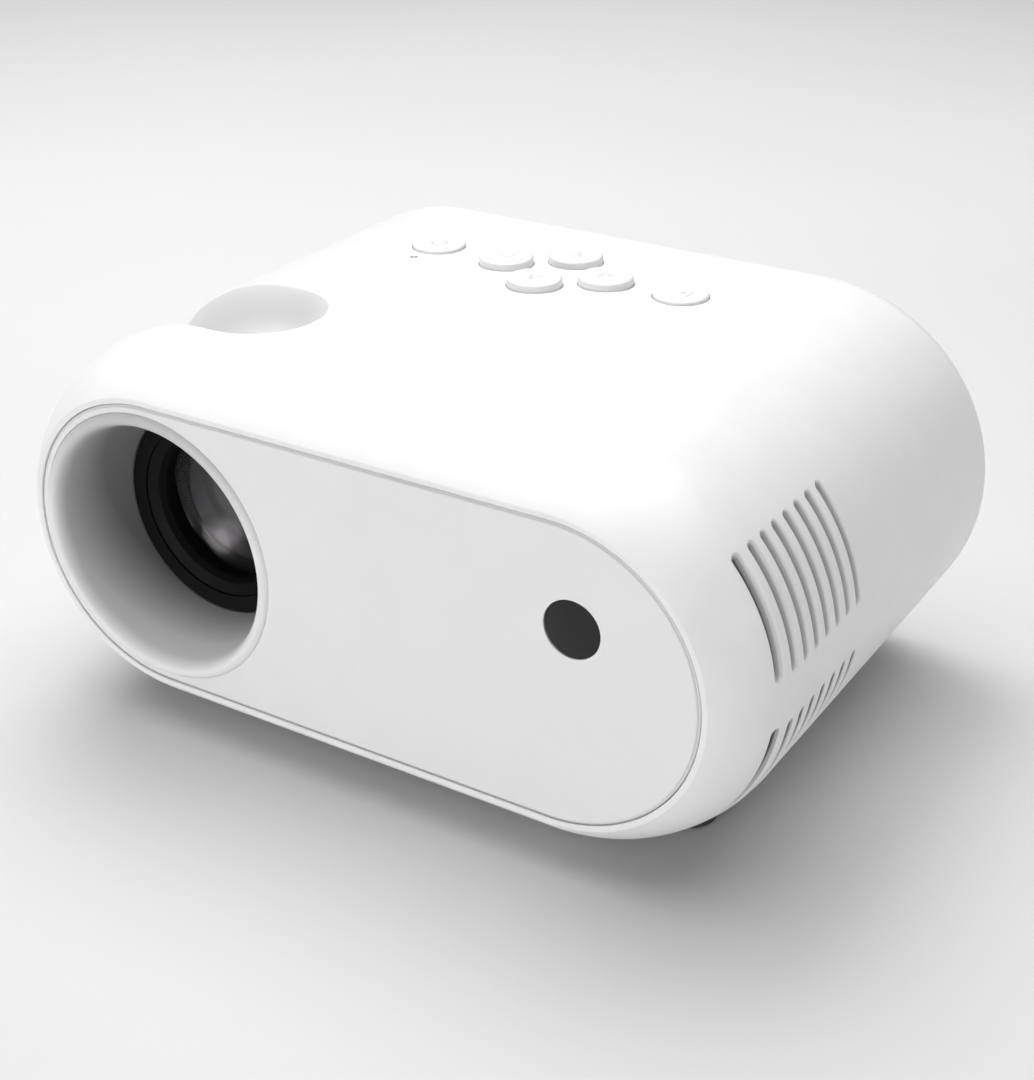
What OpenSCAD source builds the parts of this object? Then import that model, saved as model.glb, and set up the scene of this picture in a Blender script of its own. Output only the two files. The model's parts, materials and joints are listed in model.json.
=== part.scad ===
// Home projector: a pill-shaped white casing around a folded single-panel light engine.
// Casing frame used by every module: x across, y back from the front rim, z up from mid height.

/* [Casing] */
// Width of the casing over its round ends
body_w = 170.6; // [169:0.2:172]
// Height of the casing without its feet
body_h = 80; // [79.6:0.2:81]
// Depth of the casing from front rim to back
body_d = 118; // [117.6:0.2:121]
// Wall thickness of the casing
wall = 2.4; // [2.2:0.1:2.6]
// Radius of the soft front shoulder
front_round = 25.6; // [25:0.2:26]
// Depth over which the front shoulder curves
front_round_d = 19; // [18.6:0.1:19.2]
// Radius of the back edge
back_round = 8.1; // [7.8:0.1:8.4]
// Depth over which the back edge curves
back_round_d = 7.6; // [7.2:0.1:7.6]
// Height that the feet hold the casing above the table
foot_h = 3; // [2:0.5:5]

/* [Front] */
// Edge radius of the front panel's round ends
panel_r = 29.5; // [29.3:0.1:29.6]
// Gap between the front panel and the rim
panel_gap = 0.9; // [0.6:0.1:1]
// Radius of the bead round the lens opening
hood_r = 28.7; // [28.5:0.1:28.8]
// Radius of the lens opening
hood_open_r = 25.7; // [25.3:0.1:25.8]
// How far the bead stands out of the panel
hood_proud = 0.8; // [0.5:0.1:1]
// Radius of the remote receiver's window
ir_r = 5.6; // [5:0.1:6]
// Place of the window across
ir_x = 50.4; // [49:0.2:51]
// Place of the window above mid height
ir_z = 10.6; // [9:0.2:11]

/* [Finger recess] */
// Depth of the recess over the focus ring
scoop_d = 10; // [9.8:0.1:10]
// Half width of the recess where it meets the casing
scoop_half_w = 14; // [13.6:0.2:14]
// Distance of the recess's middle from the front rim
scoop_y = 34.2; // [34:0.1:34.4]
// Angle of its right end round the lens axis, from the horizontal
scoop_start = 87.4; // [86:0.2:90]
// Angle of its left end round the lens axis
scoop_end = 140; // [130:1:145]

/* [Buttons] */
// Diameter of a button cap
button_d = 11.7; // [11:0.1:11.8]
// How far the four middle caps stand out
middle_proud = 1.2; // [0.8:0.1:1.4]
// How far the two outer caps stand out
outer_proud = 0.7; // [0.5:0.1:1.2]
// Travel of a button
button_travel = 0.6; // [0.4:0.1:0.6]

/* [Vents] */
// Width of one side slot
vent_w = 2.2; // [1.8:0.1:2.4]
// Distance from one side slot to the next
vent_pitch = 4.56; // [4.4:0.02:4.6]
// Number of side slots in each bank
vent_count = 8; // [6:1:8]
// Distance of the first side slot from the front rim
vent_y = 12.5; // [12:0.1:13]

/* [Focus] */
// Radius of the focus ring
ring_r = 30; // [29.6:0.1:30]
// Width of the focus ring
ring_w = 8; // [7.8:0.1:8]
// Movement of the lens barrel either way
focus_travel = 1.5; // [1:0.1:1.5]

/* [Hidden] */
$fn = 64;

eps = 0.01;
end_r = body_h / 2;
in_r = end_r - wall;
half_span = (body_w - body_h) / 2;
lens_x = -half_span;
total_d = body_d + hood_proud;
front_y = hood_proud - total_d / 2;
mid_z = foot_h + end_r;
table_z = -mid_z;

// Colours
shell_white = [0.93, 0.93, 0.92];
panel_grey = [0.86, 0.86, 0.86];
glass_blue = [0.75, 0.82, 0.88, 0.5];
board_green = [0.10, 0.32, 0.18];
steel = [0.72, 0.73, 0.75];

// Rims and ledges that the two end covers sit on
front_open_r = panel_r + panel_gap;
front_ledge_y = 3;
panel_t = 2.2;
neck_r = hood_r - 0.4;
back_open_r = 33.6;
cover_gap = 0.4;
cover_t = 2.8;
back_lip_r = 31.5;
back_lip_t = 3.2;
cover_y = body_d - cover_t;

// Screws of the covers
boss_r = 3.6;
screw_r = 1.25;
screw_clear = 0.1;
cover_boss_angle = 50;
cover_boss_radius = 28;
cover_boss_len = 13;
cover_screw_spots = [for (s = [-1, 1], t = [-1, 1])
  [s * (half_span + cover_boss_radius * cos(cover_boss_angle)),
    t * cover_boss_radius * sin(cover_boss_angle)]];
lug_spots = [for (x = [-8, 38], t = [-1, 1]) [x, t * 26]];
lug_t = 3;
lug_y = 5.2;
lug_z0 = 22;
lug_z1 = 34.6;
chassis_spots = [for (x = [-36, 36], y = [24, 103]) [x, y]];

// Finger recess: a ball swept round the lens axis
scoop_r = (scoop_half_w * scoop_half_w + scoop_d * scoop_d) / (2 * scoop_d);
scoop_c = end_r - scoop_d + scoop_r;
scoop_step = 0.15;
liner_t = 2;

// Buttons: x and y of each cap
button_power_at = [-34.5, 86.0];
button_left_at = [-16.4, 85.2];
button_up_at = [-4.1, 93.8];
button_down_at = [-4.1, 76.6];
button_right_at = [8.2, 85.2];
button_source_at = [25.8, 85.2];
middle_buttons = [button_left_at, button_up_at, button_down_at, button_right_at];
outer_buttons = [button_power_at, button_source_at];
led_at = [-34.9, 76.9];
button_gap = 0.2;
button_flange_r = 7;
button_flange_t = 0.7;
stop_gap = 0.1;
dish_r = 7.7;
dish_d = 0.5;

// Keypad under the top wall
keypad_t = 1.6;
keypad_z = 33;
mat_z = keypad_z + keypad_t;
mat_t = 0.8;
dome_r = 4.4;
dome_top = in_r - stop_gap - button_flange_t - button_travel - 0.1;
keypad_lo = [-43, 69];
keypad_hi = [34, 101];
keypad_posts = [for (x = [-40.5, 31.5], y = [71.5, 98.5]) [x, y]];

// Feet on the curved underside
foot_r = 6;
foot_x = 59;
foot_front_y = 31;
foot_rear_y = 87;
peg_r = 2.5;

// Tripod thread in the middle of the underside
tripod_y = 59;
tripod_tap_r = 2.6;
insert_r = 4.5;
insert_len = 9.5;

// Lens parts round the lens axis
barrel_r = 20.5;
barrel_face_y = 18.6;
barrel_face_r = 22.3;
barrel_face_t = 2;
barrel_end_y = 48;
fit = 0.05;
mount_r = 23;
mount_front_y = 24.5;
mount_flange_r = 29;
mount_flange_t = 2.4;
ring_y = scoop_y - ring_w / 2;
pin_r = 1;
pin_count = 3;
slot_half = focus_travel + pin_r + 0.2;

// Light engine: the light runs along -x at engine_y and turns to -y at the mirror
engine_y = 74;
engine_half_w = 26;
engine_half_h = 25;
engine_wall = 2;
engine_x0 = lens_x - 25.4;
engine_x1 = lens_x + 59.3;
engine_y0 = engine_y - engine_half_w;
engine_y1 = engine_y + engine_half_w;
corner_cut = 45.5;
nose_cut = 4;
mirror_half = 21;
mirror_t = 2;
plate_half_w = engine_half_w - engine_wall - 0.2;
plate_z0 = -engine_half_h + engine_wall + 0.2;
plate_z1 = engine_half_h - engine_wall - 0.4;
front_fresnel_x = -9;
lcd_x = -2;
rear_fresnel_x = 4;
heat_glass_x = 9.5;
light_open_r = 21;
engine_post_spots = [[-40, 53], [-40, 66], [-14, 53], [-14, 95]];
engine_post_r = 3.5;
lid_ear_spots = [[5, 44.8], [5, 103.2], [-22, 103.2]];
ear_z = 10;
mount_screw_spots = [for (a = [45:90:315]) [lens_x + 26.5 * cos(a), 26.5 * sin(a)]];

// Lamp, heat sink and fan
cone_x1 = 48;
cone_small_r = 9;
led_x = 50.4;
led_t = 1.6;
led_half = 15;
sink_x0 = led_x + led_t;
sink_base = 4;
sink_x1 = 76;
sink_half_y = 23;
sink_half_z = 18.6;
fin_count = 9;
fin_t = 1.2;
fan_y = 28.6;
fan_half = 20;
fan_x0 = 62;
fan_t = 10;
fan_hole_r = 19;
fan_hub_r = 8.5;
fan_shaft_r = 1.5;
fan_blades = 7;
fan_screw_at = 16;
bracket_t = 1.8;
bracket_foot = 9;
bracket_screw_x = fan_x0 - 5;
bracket_screw_ys = [16, 41];
led_screw_at = 12;

// Boards
tray_z0 = -in_r;
tray_t = 2;
tray_top = tray_z0 + tray_t;
board_t = 1.6;
board_z = -33;
board_top = board_z + board_t;
wing_z = -31.4;
wing_t = 2;
port_y = cover_y - 0.2;
hdmi_x = 14;
usb_x = -6;
av_x = -23;
dc_x = 33;
hdmi_size = [15, 11.4, 5.8];
usb_size = [14.2, 13.6, 6.6];
av_size = [7, 12, 5.6];
dc_size = [9, 12, 10.8];
av_bore_r = 1.8;
dc_bore_r = 3.2;
dc_pin_r = 1.05;
av_z = board_top + av_size[2] / 2;
dc_z = board_top + 6.4;
speaker_x = -58;
speaker_r = 17;
speaker_y0 = 102;
grille_x = 55;

// ---------- helpers ----------

// Moves the casing frame to the part's origin, under the middle of the casing on the table
module placed() {
  translate([0, front_y, mid_z]) children();
}

module block(lo, hi) {
  translate(lo) cube(hi - lo);
}

module rod_x(x0, x1, y, z, r) {
  translate([x0, y, z]) rotate([0, 90, 0]) cylinder(h = x1 - x0, r = r);
}

module rod_y(x, y0, y1, z, r) {
  translate([x, y0, z]) rotate([-90, 0, 0]) cylinder(h = y1 - y0, r = r);
}

module rod_z(x, y, z0, z1, r) {
  translate([x, y, z0]) cylinder(h = z1 - z0, r = r);
}

// Turns a flat outline in (radius, y) round an axis along y
module turned_y(x) {
  translate([x, 0, 0]) rotate([-90, 0, 0]) rotate_extrude() children();
}

// Turns a flat outline in (radius, x) round the light path's axis along x
module turned_x() {
  translate([0, engine_y, 0]) rotate([0, 90, 0]) rotate_extrude() children();
}

// Two half rounds joined by a straight middle, from a flat outline in (radius, y)
module pill() {
  for (s = [-1, 1])
    translate([s * half_span, 0, 0]) rotate([-90, 0, 0]) rotate([0, 0, s * -90])
      rotate_extrude(angle = 180) children();
  for (t = [0, 1])
    mirror([0, 0, t]) rotate([0, -90, 0])
      linear_extrude(height = 2 * half_span, center = true) children();
}

module pill_plate(r, y0, y1) {
  pill() translate([0, y0]) square([r, y1 - y0]);
}

// Screw driven along +z, with the underside of its head at z = 0
module screw(length, r = screw_r, head_r = 2.4, head_h = 1.4) {
  translate([0, 0, -head_h]) difference() {
    cylinder(h = head_h, r = head_r);
    for (a = [0, 90])
      rotate([0, 0, a]) translate([-head_r * 0.6, -0.3, -eps]) cube([head_r * 1.2, 0.6, head_h * 0.55]);
  }
  translate([0, 0, -eps]) cylinder(h = length, r = r);
}

// ---------- casing ----------

// Quarter of the front shoulder: an arc of radius r about the shoulder's centre
module shoulder(r, y0) {
  c = end_r - front_round;
  intersection() {
    translate([c, front_round_d]) circle(r, $fn = 96);
    translate([0, y0]) square([end_r + 1, front_round_d - y0]);
  }
  translate([0, y0]) square([c, front_round_d - y0]);
}

module outer_profile() {
  c = end_r - back_round;
  y = body_d - back_round_d;
  shoulder(front_round, 0);
  translate([0, front_round_d]) square([end_r, y - front_round_d]);
  intersection() {
    translate([c, y]) circle(back_round, $fn = 96);
    translate([0, y]) square([end_r + 1, back_round_d]);
  }
  translate([0, y]) square([c, back_round_d]);
}

module cavity_profile() {
  lip_y = cover_y - back_lip_t;
  translate([0, -1]) square([front_open_r, front_ledge_y + 2]);
  shoulder(front_round - wall, front_ledge_y);
  translate([0, front_round_d]) square([in_r, lip_y - front_round_d]);
  translate([0, lip_y - 1]) square([back_lip_r, back_lip_t + 2]);
  translate([0, cover_y]) square([back_open_r, cover_t + 1]);
}

// Ball of radius r swept round the lens axis; the balls at its ends are a touch larger, to cut cleanly
module scoop(r) {
  end_ball = r + scoop_step;
  translate([lens_x, scoop_y, 0]) rotate([-90, 0, 0]) {
    rotate([0, 0, -scoop_end])
      rotate_extrude(angle = scoop_end - scoop_start) translate([scoop_c, 0]) circle(r, $fn = 96);
    for (a = [scoop_start, scoop_end])
      rotate([0, 0, -a]) translate([scoop_c, 0, 0]) rotate_extrude() intersection() {
        circle(end_ball, $fn = 96);
        translate([0, -end_ball - 1]) square([end_ball + 1, 2 * end_ball + 2]);
      }
  }
}

module scoop_liner() {
  intersection() {
    scoop(scoop_r + liner_t);
    pill() translate([0, front_round_d]) square([in_r + 1, body_d / 2 - front_round_d]);
  }
}

// One slot through the right end's wall, between two angles, with round ends
module vent_slot(y, a0, a1) {
  cap = asin(vent_w / 2 / end_r);
  r0 = in_r - 4;
  side = vent_w - 0.04;
  translate([half_span, y, 0]) rotate([-90, 0, 0]) {
    rotate([0, 0, -a1 + cap])
      rotate_extrude(angle = a1 - a0 - 2 * cap) translate([r0, -side / 2]) square([wall + 6, side]);
    for (a = [a0 + cap, a1 - cap])
      rotate([0, 0, -a])
        translate([r0 - 0.5, 0, 0]) rotate([0, 90, 0]) cylinder(h = wall + 8, r = vent_w / 2);
  }
}

module side_vents() {
  for (i = [0:vent_count - 1]) {
    vent_slot(vent_y + i * vent_pitch, 6.5, 42.3);
    vent_slot(vent_y + i * vent_pitch, -42.3, -7.3);
  }
}

module shell_bosses() {
  for (p = cover_screw_spots) {
    side = sign(p[0]);
    rod_y(p[0], cover_y - cover_boss_len, cover_y - eps, p[1], boss_r);
    translate([side * half_span, cover_y - cover_boss_len, 0])
      rotate([0, -atan2(p[1], p[0] - side * half_span), 0])
      translate([cover_boss_radius, 0, -1]) cube([in_r - cover_boss_radius + 1, cover_boss_len - 1, 2]);
  }
  for (p = lug_spots) {
    s = sign(p[1]);
    low = s > 0 ? lug_z0 : -lug_z1;
    block([p[0] - 4, lug_y, low], [p[0] + 4, lug_y + lug_t, low + lug_z1 - lug_z0]);
  }
  for (p = keypad_posts) rod_z(p[0], p[1], mat_z, in_r + 1, 2.4);
  rod_z(0, tripod_y, -in_r - 1, -end_r + insert_len + 1.6, insert_r + 2.4);
}

module button_hole(p, dished) {
  rod_z(p[0], p[1], in_r - 1, end_r + 1, button_d / 2 + button_gap);
  if (dished)
    translate([p[0], p[1], end_r - dish_d])
      cylinder(h = dish_d + 1, r1 = button_d / 2 + 0.4, r2 = dish_r + 1);
}

module outer_shell() {
  color(shell_white) placed() difference() {
    union() {
      difference() {
        pill() outer_profile();
        pill() cavity_profile();
      }
      scoop_liner();
      shell_bosses();
    }
    scoop(scoop_r);
    turned_y(lens_x)
      translate([mount_r + 1, ring_y - 0.5]) square([ring_r + 0.5 - mount_r - 1, ring_w + 1]);
    side_vents();
    for (p = middle_buttons) button_hole(p, true);
    for (p = outer_buttons) button_hole(p, false);
    rod_z(led_at[0], led_at[1], in_r - 1, end_r + 1, 0.8);
    for (p = cover_screw_spots) rod_y(p[0], cover_y - 10, cover_y + 1, p[1], screw_r + screw_clear);
    for (p = lug_spots) rod_y(p[0], lug_y - 1, lug_y + lug_t + 1, p[1], screw_r + screw_clear);
    for (p = chassis_spots) {
      rod_z(p[0], p[1], -end_r - 1, -in_r + 1, screw_r + screw_clear);
      rod_z(p[0], p[1], -end_r - 1, -end_r + 1.5, 2.8);
    }
    for (p = keypad_posts) rod_z(p[0], p[1], mat_z - 1, in_r - 0.6, 0.9);
    for (s = [-1, 1], y = [foot_front_y, foot_rear_y]) rod_z(s * foot_x, y, -end_r - 1, -in_r + 8,
      peg_r + 0.1);
    rod_z(0, tripod_y, -end_r - 1, -end_r + insert_len + 0.1, insert_r + 0.05);
  }
}

module front_panel() {
  color(panel_grey) placed() difference() {
    union() {
      pill_plate(panel_r, 0, front_ledge_y + eps);
      pill_plate(panel_r + 1.5, front_ledge_y, front_ledge_y + 2);
    }
    pill_plate(panel_r - 1.2, panel_t, front_ledge_y + 3);
    rod_y(lens_x, -1, panel_t + 0.1, 0, hood_r + 0.15);
    rod_y(lens_x, -1, front_ledge_y + 3, 0, neck_r + 0.05);
    rod_y(ir_x, -1, front_ledge_y + 3, ir_z, ir_r + 0.1);
  }
  color(panel_grey) placed() for (p = lug_spots) difference() {
    rod_y(p[0], panel_t - eps, lug_y - 0.05, p[1], 3);
    rod_y(p[0], panel_t + 0.4, lug_y + 1, p[1], screw_r + screw_clear);
  }
  color(panel_grey) placed() for (p = [[ir_x - 5.6, ir_z - 7], [ir_x + 5.6, ir_z + 7]])
    rod_y(p[0], panel_t - eps, 6, p[1], 1.8);
}

// Bead, funnel and the straight throat in which the lens barrel slides
module lens_hood() {
  bead = (hood_r - hood_open_r) / 2;
  throat = barrel_face_r + 0.45;
  color(panel_grey) placed() turned_y(lens_x) {
    translate([hood_r - bead, bead - hood_proud]) circle(bead);
    polygon([
      [hood_open_r, bead - hood_proud], [neck_r, bead - hood_proud],
      [neck_r, 5.2], [throat + 2.2, barrel_face_y], [throat + 2.2, barrel_face_y + 4],
      [throat, barrel_face_y + 4], [throat, barrel_face_y]
    ]);
  }
}

module ir_window() {
  color([0.12, 0.12, 0.13]) placed() {
    rod_y(ir_x, 0.1, panel_t + 0.1, ir_z, ir_r);
    rod_y(ir_x, panel_t + 0.05, panel_t + 1, ir_z, ir_r + 1.2);
  }
}

module rear_cover() {
  color(shell_white) placed() difference() {
    pill_plate(back_open_r - cover_gap, cover_y, body_d);
    for (p = cover_screw_spots) {
      rod_y(p[0], cover_y - 1, body_d + 1, p[1], screw_r + screw_clear);
      rod_y(p[0], cover_y + 1.2, body_d + 1, p[1], 2.6);
    }
    for (i = [0:7]) {
      x = grille_x + (i - 3.5) * vent_pitch;
      block([x - vent_w / 2, cover_y - 1, -12], [x + vent_w / 2, body_d + 1, 12]);
      for (t = [-1, 1]) rod_y(x, cover_y - 1, body_d + 1, t * 12, vent_w / 2);
    }
    for (k = [0:3], j = [0:max(0, 6 * k - 1)])
      rod_y(speaker_x + 3.9 * k * cos(60 * j / max(1, k)), cover_y - 1, body_d + 1,
        3.9 * k * sin(60 * j / max(1, k)), 1);
    port_cut(hdmi_x, board_top + hdmi_size[2] / 2, hdmi_size[0] + 0.8, hdmi_size[2] + 0.8);
    port_cut(usb_x, board_top + usb_size[2] / 2, usb_size[0] + 0.8, usb_size[2] + 0.8);
    rod_y(av_x, cover_y - 1, body_d + 1, av_z, 3.6);
    rod_y(dc_x, cover_y - 1, body_d + 1, dc_z, 5);
  }
}

module port_cut(x, z, w, h) {
  block([x - w / 2, cover_y - 1, z - h / 2], [x + w / 2, body_d + 1, z + h / 2]);
}

module rear_cover_screws() {
  color(steel) placed() for (p = cover_screw_spots)
    translate([p[0], cover_y + 1.2, p[1]]) rotate([90, 0, 0]) screw(9);
}

module panel_screws() {
  color(steel) placed() for (p = lug_spots)
    translate([p[0], lug_y + lug_t, p[1]]) rotate([90, 0, 0]) screw(5.2);
}

module chassis_screws() {
  color(steel) placed() for (p = chassis_spots)
    translate([p[0], p[1], -end_r + 1.5]) screw(5, head_r = 2.6);
}

// ---------- buttons ----------

module button(p, proud) {
  color(shell_white) placed() translate([p[0], p[1], 0]) {
    flange_z = in_r - stop_gap - button_flange_t;
    top = end_r + proud;
    rod_z(0, 0, flange_z, flange_z + button_flange_t, button_flange_r);
    rod_z(0, 0, flange_z, top - 0.5, button_d / 2);
    translate([0, 0, top - 0.5 - eps]) cylinder(h = 0.5, r1 = button_d / 2, r2 = button_d / 2 - 0.5);
  }
}

module button_power() { button(button_power_at, outer_proud); }
module button_left() { button(button_left_at, middle_proud); }
module button_up() { button(button_up_at, middle_proud); }
module button_down() { button(button_down_at, middle_proud); }
module button_right() { button(button_right_at, middle_proud); }
module button_source() { button(button_source_at, outer_proud); }

module keypad_mat() {
  color([0.3, 0.3, 0.32]) placed() difference() {
    union() {
      block([keypad_lo[0] + 1, keypad_lo[1] + 1, mat_z],
        [keypad_hi[0] - 1, keypad_hi[1] - 1, mat_z + mat_t]);
      for (p = concat(middle_buttons, outer_buttons))
        translate([p[0], p[1], mat_z]) cylinder(h = dome_top - mat_z, r1 = dome_r + 1, r2 = dome_r - 1);
    }
    for (p = keypad_posts) rod_z(p[0], p[1], mat_z - 1, in_r, 2.8);
    rod_z(led_at[0], led_at[1], mat_z - 1, in_r, 1.8);
  }
}

module keypad_board() {
  color(board_green) placed() difference() {
    union() {
      block([keypad_lo[0], keypad_lo[1], keypad_z], [keypad_hi[0], keypad_hi[1], keypad_z + keypad_t]);
      block([-8, keypad_hi[1] - 6, keypad_z - 4], [8, keypad_hi[1] - 1, keypad_z + eps]);
    }
    for (p = keypad_posts) rod_z(p[0], p[1], keypad_z - 1, mat_z + 1, 1);
  }
}

module light_pipe() {
  color([0.9, 0.95, 1, 0.6]) placed() {
    rod_z(led_at[0], led_at[1], mat_z + 0.4, end_r + 0.05, 0.7);
    rod_z(led_at[0], led_at[1], mat_z + 0.4, mat_z + 2, 1.5);
  }
}

// ---------- underside ----------

module foot(side, y) {
  color([0.16, 0.16, 0.17]) placed() {
    difference() {
      rod_z(side * foot_x, y, table_z, -end_r + 8, foot_r);
      pill_plate(end_r, foot_front_y - foot_r - 10, foot_rear_y + foot_r + 10);
    }
    rod_z(side * foot_x, y, table_z + 1, -in_r + 5, peg_r);
    rod_z(side * foot_x, y, -in_r + 4.4, -in_r + 5.6, peg_r + 0.8);
  }
}

module foot_front_left() { foot(-1, foot_front_y); }
module foot_front_right() { foot(1, foot_front_y); }
module foot_rear_left() { foot(-1, foot_rear_y); }
module foot_rear_right() { foot(1, foot_rear_y); }

module tripod_insert() {
  color("goldenrod") placed() difference() {
    rod_z(0, tripod_y, -end_r, -end_r + insert_len, insert_r);
    rod_z(0, tripod_y, -end_r - 1, -end_r + insert_len - 1.5, tripod_tap_r);
  }
}

// Tray on the casing's floor, with a raised wing under the lamp and the fan
module chassis() {
  color([0.75, 0.76, 0.78]) placed() difference() {
    union() {
      block([-half_span + 1, front_round_d + 0.2, tray_z0], [half_span - 2, 111, tray_top]);
      block([half_span - 4, front_round_d + 0.2, tray_z0], [half_span - 2, 97, wing_z + wing_t]);
      block([half_span - 4, 12, wing_z], [fan_x0, 97, wing_z + wing_t]);
      for (p = engine_post_spots) rod_z(p[0], p[1], tray_top - eps, -engine_half_h, engine_post_r);
      for (y = [58, 90]) rod_z(56, y, wing_z + eps, -sink_half_z, 3);
      for (x = [-30, 37], y = [76, 109]) rod_z(x, y, tray_top - eps, board_z, 2.2);
      for (x = [-18, 34], y = [31, 43]) rod_z(x, y, tray_top - eps, board_z, 2.2);
    }
    rod_z(0, tripod_y, tray_z0 - 1, tray_top + 1, insert_r + 3);
    for (p = chassis_spots) rod_z(p[0], p[1], tray_z0 - 1, tray_top + 1, screw_r + screw_clear);
    for (p = engine_post_spots) rod_z(p[0], p[1], -engine_half_h - 6, -engine_half_h + 1,
      screw_r + screw_clear);
    for (y = bracket_screw_ys) rod_z(bracket_screw_x, y, wing_z - 1, wing_z + wing_t + 1,
      screw_r + screw_clear);
  }
}

// ---------- lens ----------

module focus_ring() {
  color([0.2, 0.2, 0.21]) placed() difference() {
    turned_y(lens_x) difference() {
      translate([mount_r + fit, ring_y]) square([ring_r - mount_r - fit, ring_w]);
      translate([mount_r, scoop_y - slot_half]) square([2, 2 * slot_half]);
    }
    for (i = [0:47])
      translate([lens_x, 0, 0]) rotate([0, i * 7.5, 0])
        rod_y(ring_r + 0.4, ring_y - 1, ring_y + ring_w + 1, 0, 1);
  }
}

module ring_retainer() {
  color(steel) placed() difference() {
    turned_y(lens_x) translate([mount_r + 0.02, ring_y - 1.4]) square([2.4, 1.1]);
    block([lens_x - 3, ring_y - 3, -mount_r - 4], [lens_x + 3, ring_y + 1, -mount_r + 3]);
  }
}

module lens_mount() {
  color([0.18, 0.18, 0.19]) placed() difference() {
    turned_y(lens_x) {
      translate([barrel_r + fit, mount_front_y]) square([mount_r - barrel_r - fit,
        engine_y0 + 2 - mount_front_y]);
      translate([barrel_r + 1, ring_y + ring_w + 0.3])
        square([2.8, engine_y0 - mount_flange_t - ring_y - ring_w - 0.2]);
      translate([barrel_r + 1, engine_y0 - mount_flange_t]) square([mount_flange_r - barrel_r - 1,
        mount_flange_t]);
    }
    for (i = [0:pin_count - 1]) translate([lens_x, 0, 0]) rotate([0, 30 + i * 120, 0])
      block([barrel_r - 1, scoop_y - slot_half, -pin_r - 0.1],
        [mount_r + 1, scoop_y + slot_half, pin_r + 0.1]);
    for (p = mount_screw_spots)
      rod_y(p[0], engine_y0 - mount_flange_t - 1, engine_y0 + 1, p[1], screw_r + screw_clear);
  }
}

module lens_barrel() {
  color([0.06, 0.06, 0.06]) placed() difference() {
    turned_y(lens_x) difference() {
      union() {
        translate([0, barrel_face_y]) square([barrel_face_r, barrel_face_t]);
        translate([0, barrel_face_y + 1]) square([barrel_r, barrel_end_y - barrel_face_y - 1]);
      }
      translate([0, barrel_face_y - 1]) square([19, 2.8]);
      translate([0, barrel_face_y + 1]) square([17.2, 10.4]);
      translate([0, 26]) square([13.7, 12.6]);
      translate([0, 37]) square([15.2, 12]);
    }
    for (i = [0:pin_count - 1]) translate([lens_x, 0, 0]) rotate([0, 30 + i * 120, 0])
      rod_x(16.6, barrel_r + 1, scoop_y, 0, pin_r - 0.1);
  }
}

module focus_pins() {
  color("goldenrod") placed() for (i = [0:pin_count - 1])
    translate([lens_x, 0, 0]) rotate([0, 30 + i * 120, 0]) {
      rod_x(16.8, barrel_r + 0.5, scoop_y, 0, pin_r - 0.15);
      rod_x(barrel_r + 0.1, mount_r + 1.6, scoop_y, 0, pin_r);
    }
}

// Outline of a lens in (radius, depth) with ball-shaped faces: f and b are the bulges of its two faces
module lens_outline(r, y0, edge, f, b) {
  rf = (r * r + f * f) / (2 * abs(f));
  rb = (r * r + b * b) / (2 * abs(b));
  y1 = y0 + edge;
  difference() {
    intersection() {
      translate([0, y0 - max(f, 0)]) square([r, edge + max(f, 0) + max(b, 0)]);
      if (f > 0) translate([0, y0 - f + rf]) circle(rf, $fn = 240);
      if (f < 0) translate([0, y0]) square([r, edge]);
      if (b > 0) translate([0, y1 + b - rb]) circle(rb, $fn = 240);
      if (b < 0) translate([0, y0 - max(f, 0)]) square([r, edge + max(f, 0)]);
    }
    if (f < 0) translate([0, y0 - f - rf]) circle(rf, $fn = 240);
    if (b < 0) translate([0, y1 + b + rb]) circle(rb, $fn = 240);
  }
}

module lens(r, y0, edge, f, b) {
  color(glass_blue) placed() turned_y(lens_x) lens_outline(r, y0, edge, f, b);
}

module front_lens() { lens(17, 24.6, 3, 3.2, 1.6); }
module middle_lens() { lens(13.5, 31.2, 6.6, -1.8, -1.8); }
module rear_lens() { lens(15, 40.6, 3, 1.6, 2.4); }

module lens_retainer() {
  color([0.05, 0.05, 0.05]) placed() turned_y(lens_x)
    polygon([[16, barrel_face_y + 5.5], [17.1, barrel_face_y + 5.5], [17.1, barrel_face_y + 1.7],
      [18.9, barrel_face_y + 1.7],
      [18.9, barrel_face_y + 0.5], [16.8, barrel_face_y + 1.6], [16, barrel_face_y + 3]]);
}

// ---------- light engine ----------

module engine_outline(inset) {
  k = inset * 0.414;
  polygon([
    [engine_x0 + inset, engine_y0 + nose_cut + k], [engine_x0 + nose_cut + k, engine_y0 + inset],
    [engine_x1 - inset, engine_y0 + inset],
    [engine_x1 - inset, engine_y1 - inset], [engine_x0 + corner_cut + k, engine_y1 - inset],
    [engine_x0 + inset, engine_y1 - corner_cut - k]
  ]);
}

module plate_rails(x, t) {
  for (s = [-1, 1], e = [-1, 1])
    translate([x + e * (t / 2 + 0.85), engine_y + s * (engine_half_w - engine_wall - 0.45), 0])
      cube([1.5, 1.1, 2 * engine_half_h - 2 * engine_wall - 0.6], center = true);
}

// Round ears outside the housing's long walls, each with a short web to its wall
module lid_ears(z0, z1) {
  for (p = lid_ear_spots) {
    rod_z(p[0], p[1], z0, z1, 3);
    block([p[0] - 2, p[1] > engine_y ? engine_y1 - 1 : p[1], z0],
      [p[0] + 2, p[1] > engine_y ? p[1] : engine_y0 + 1, z1]);
  }
}

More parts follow.
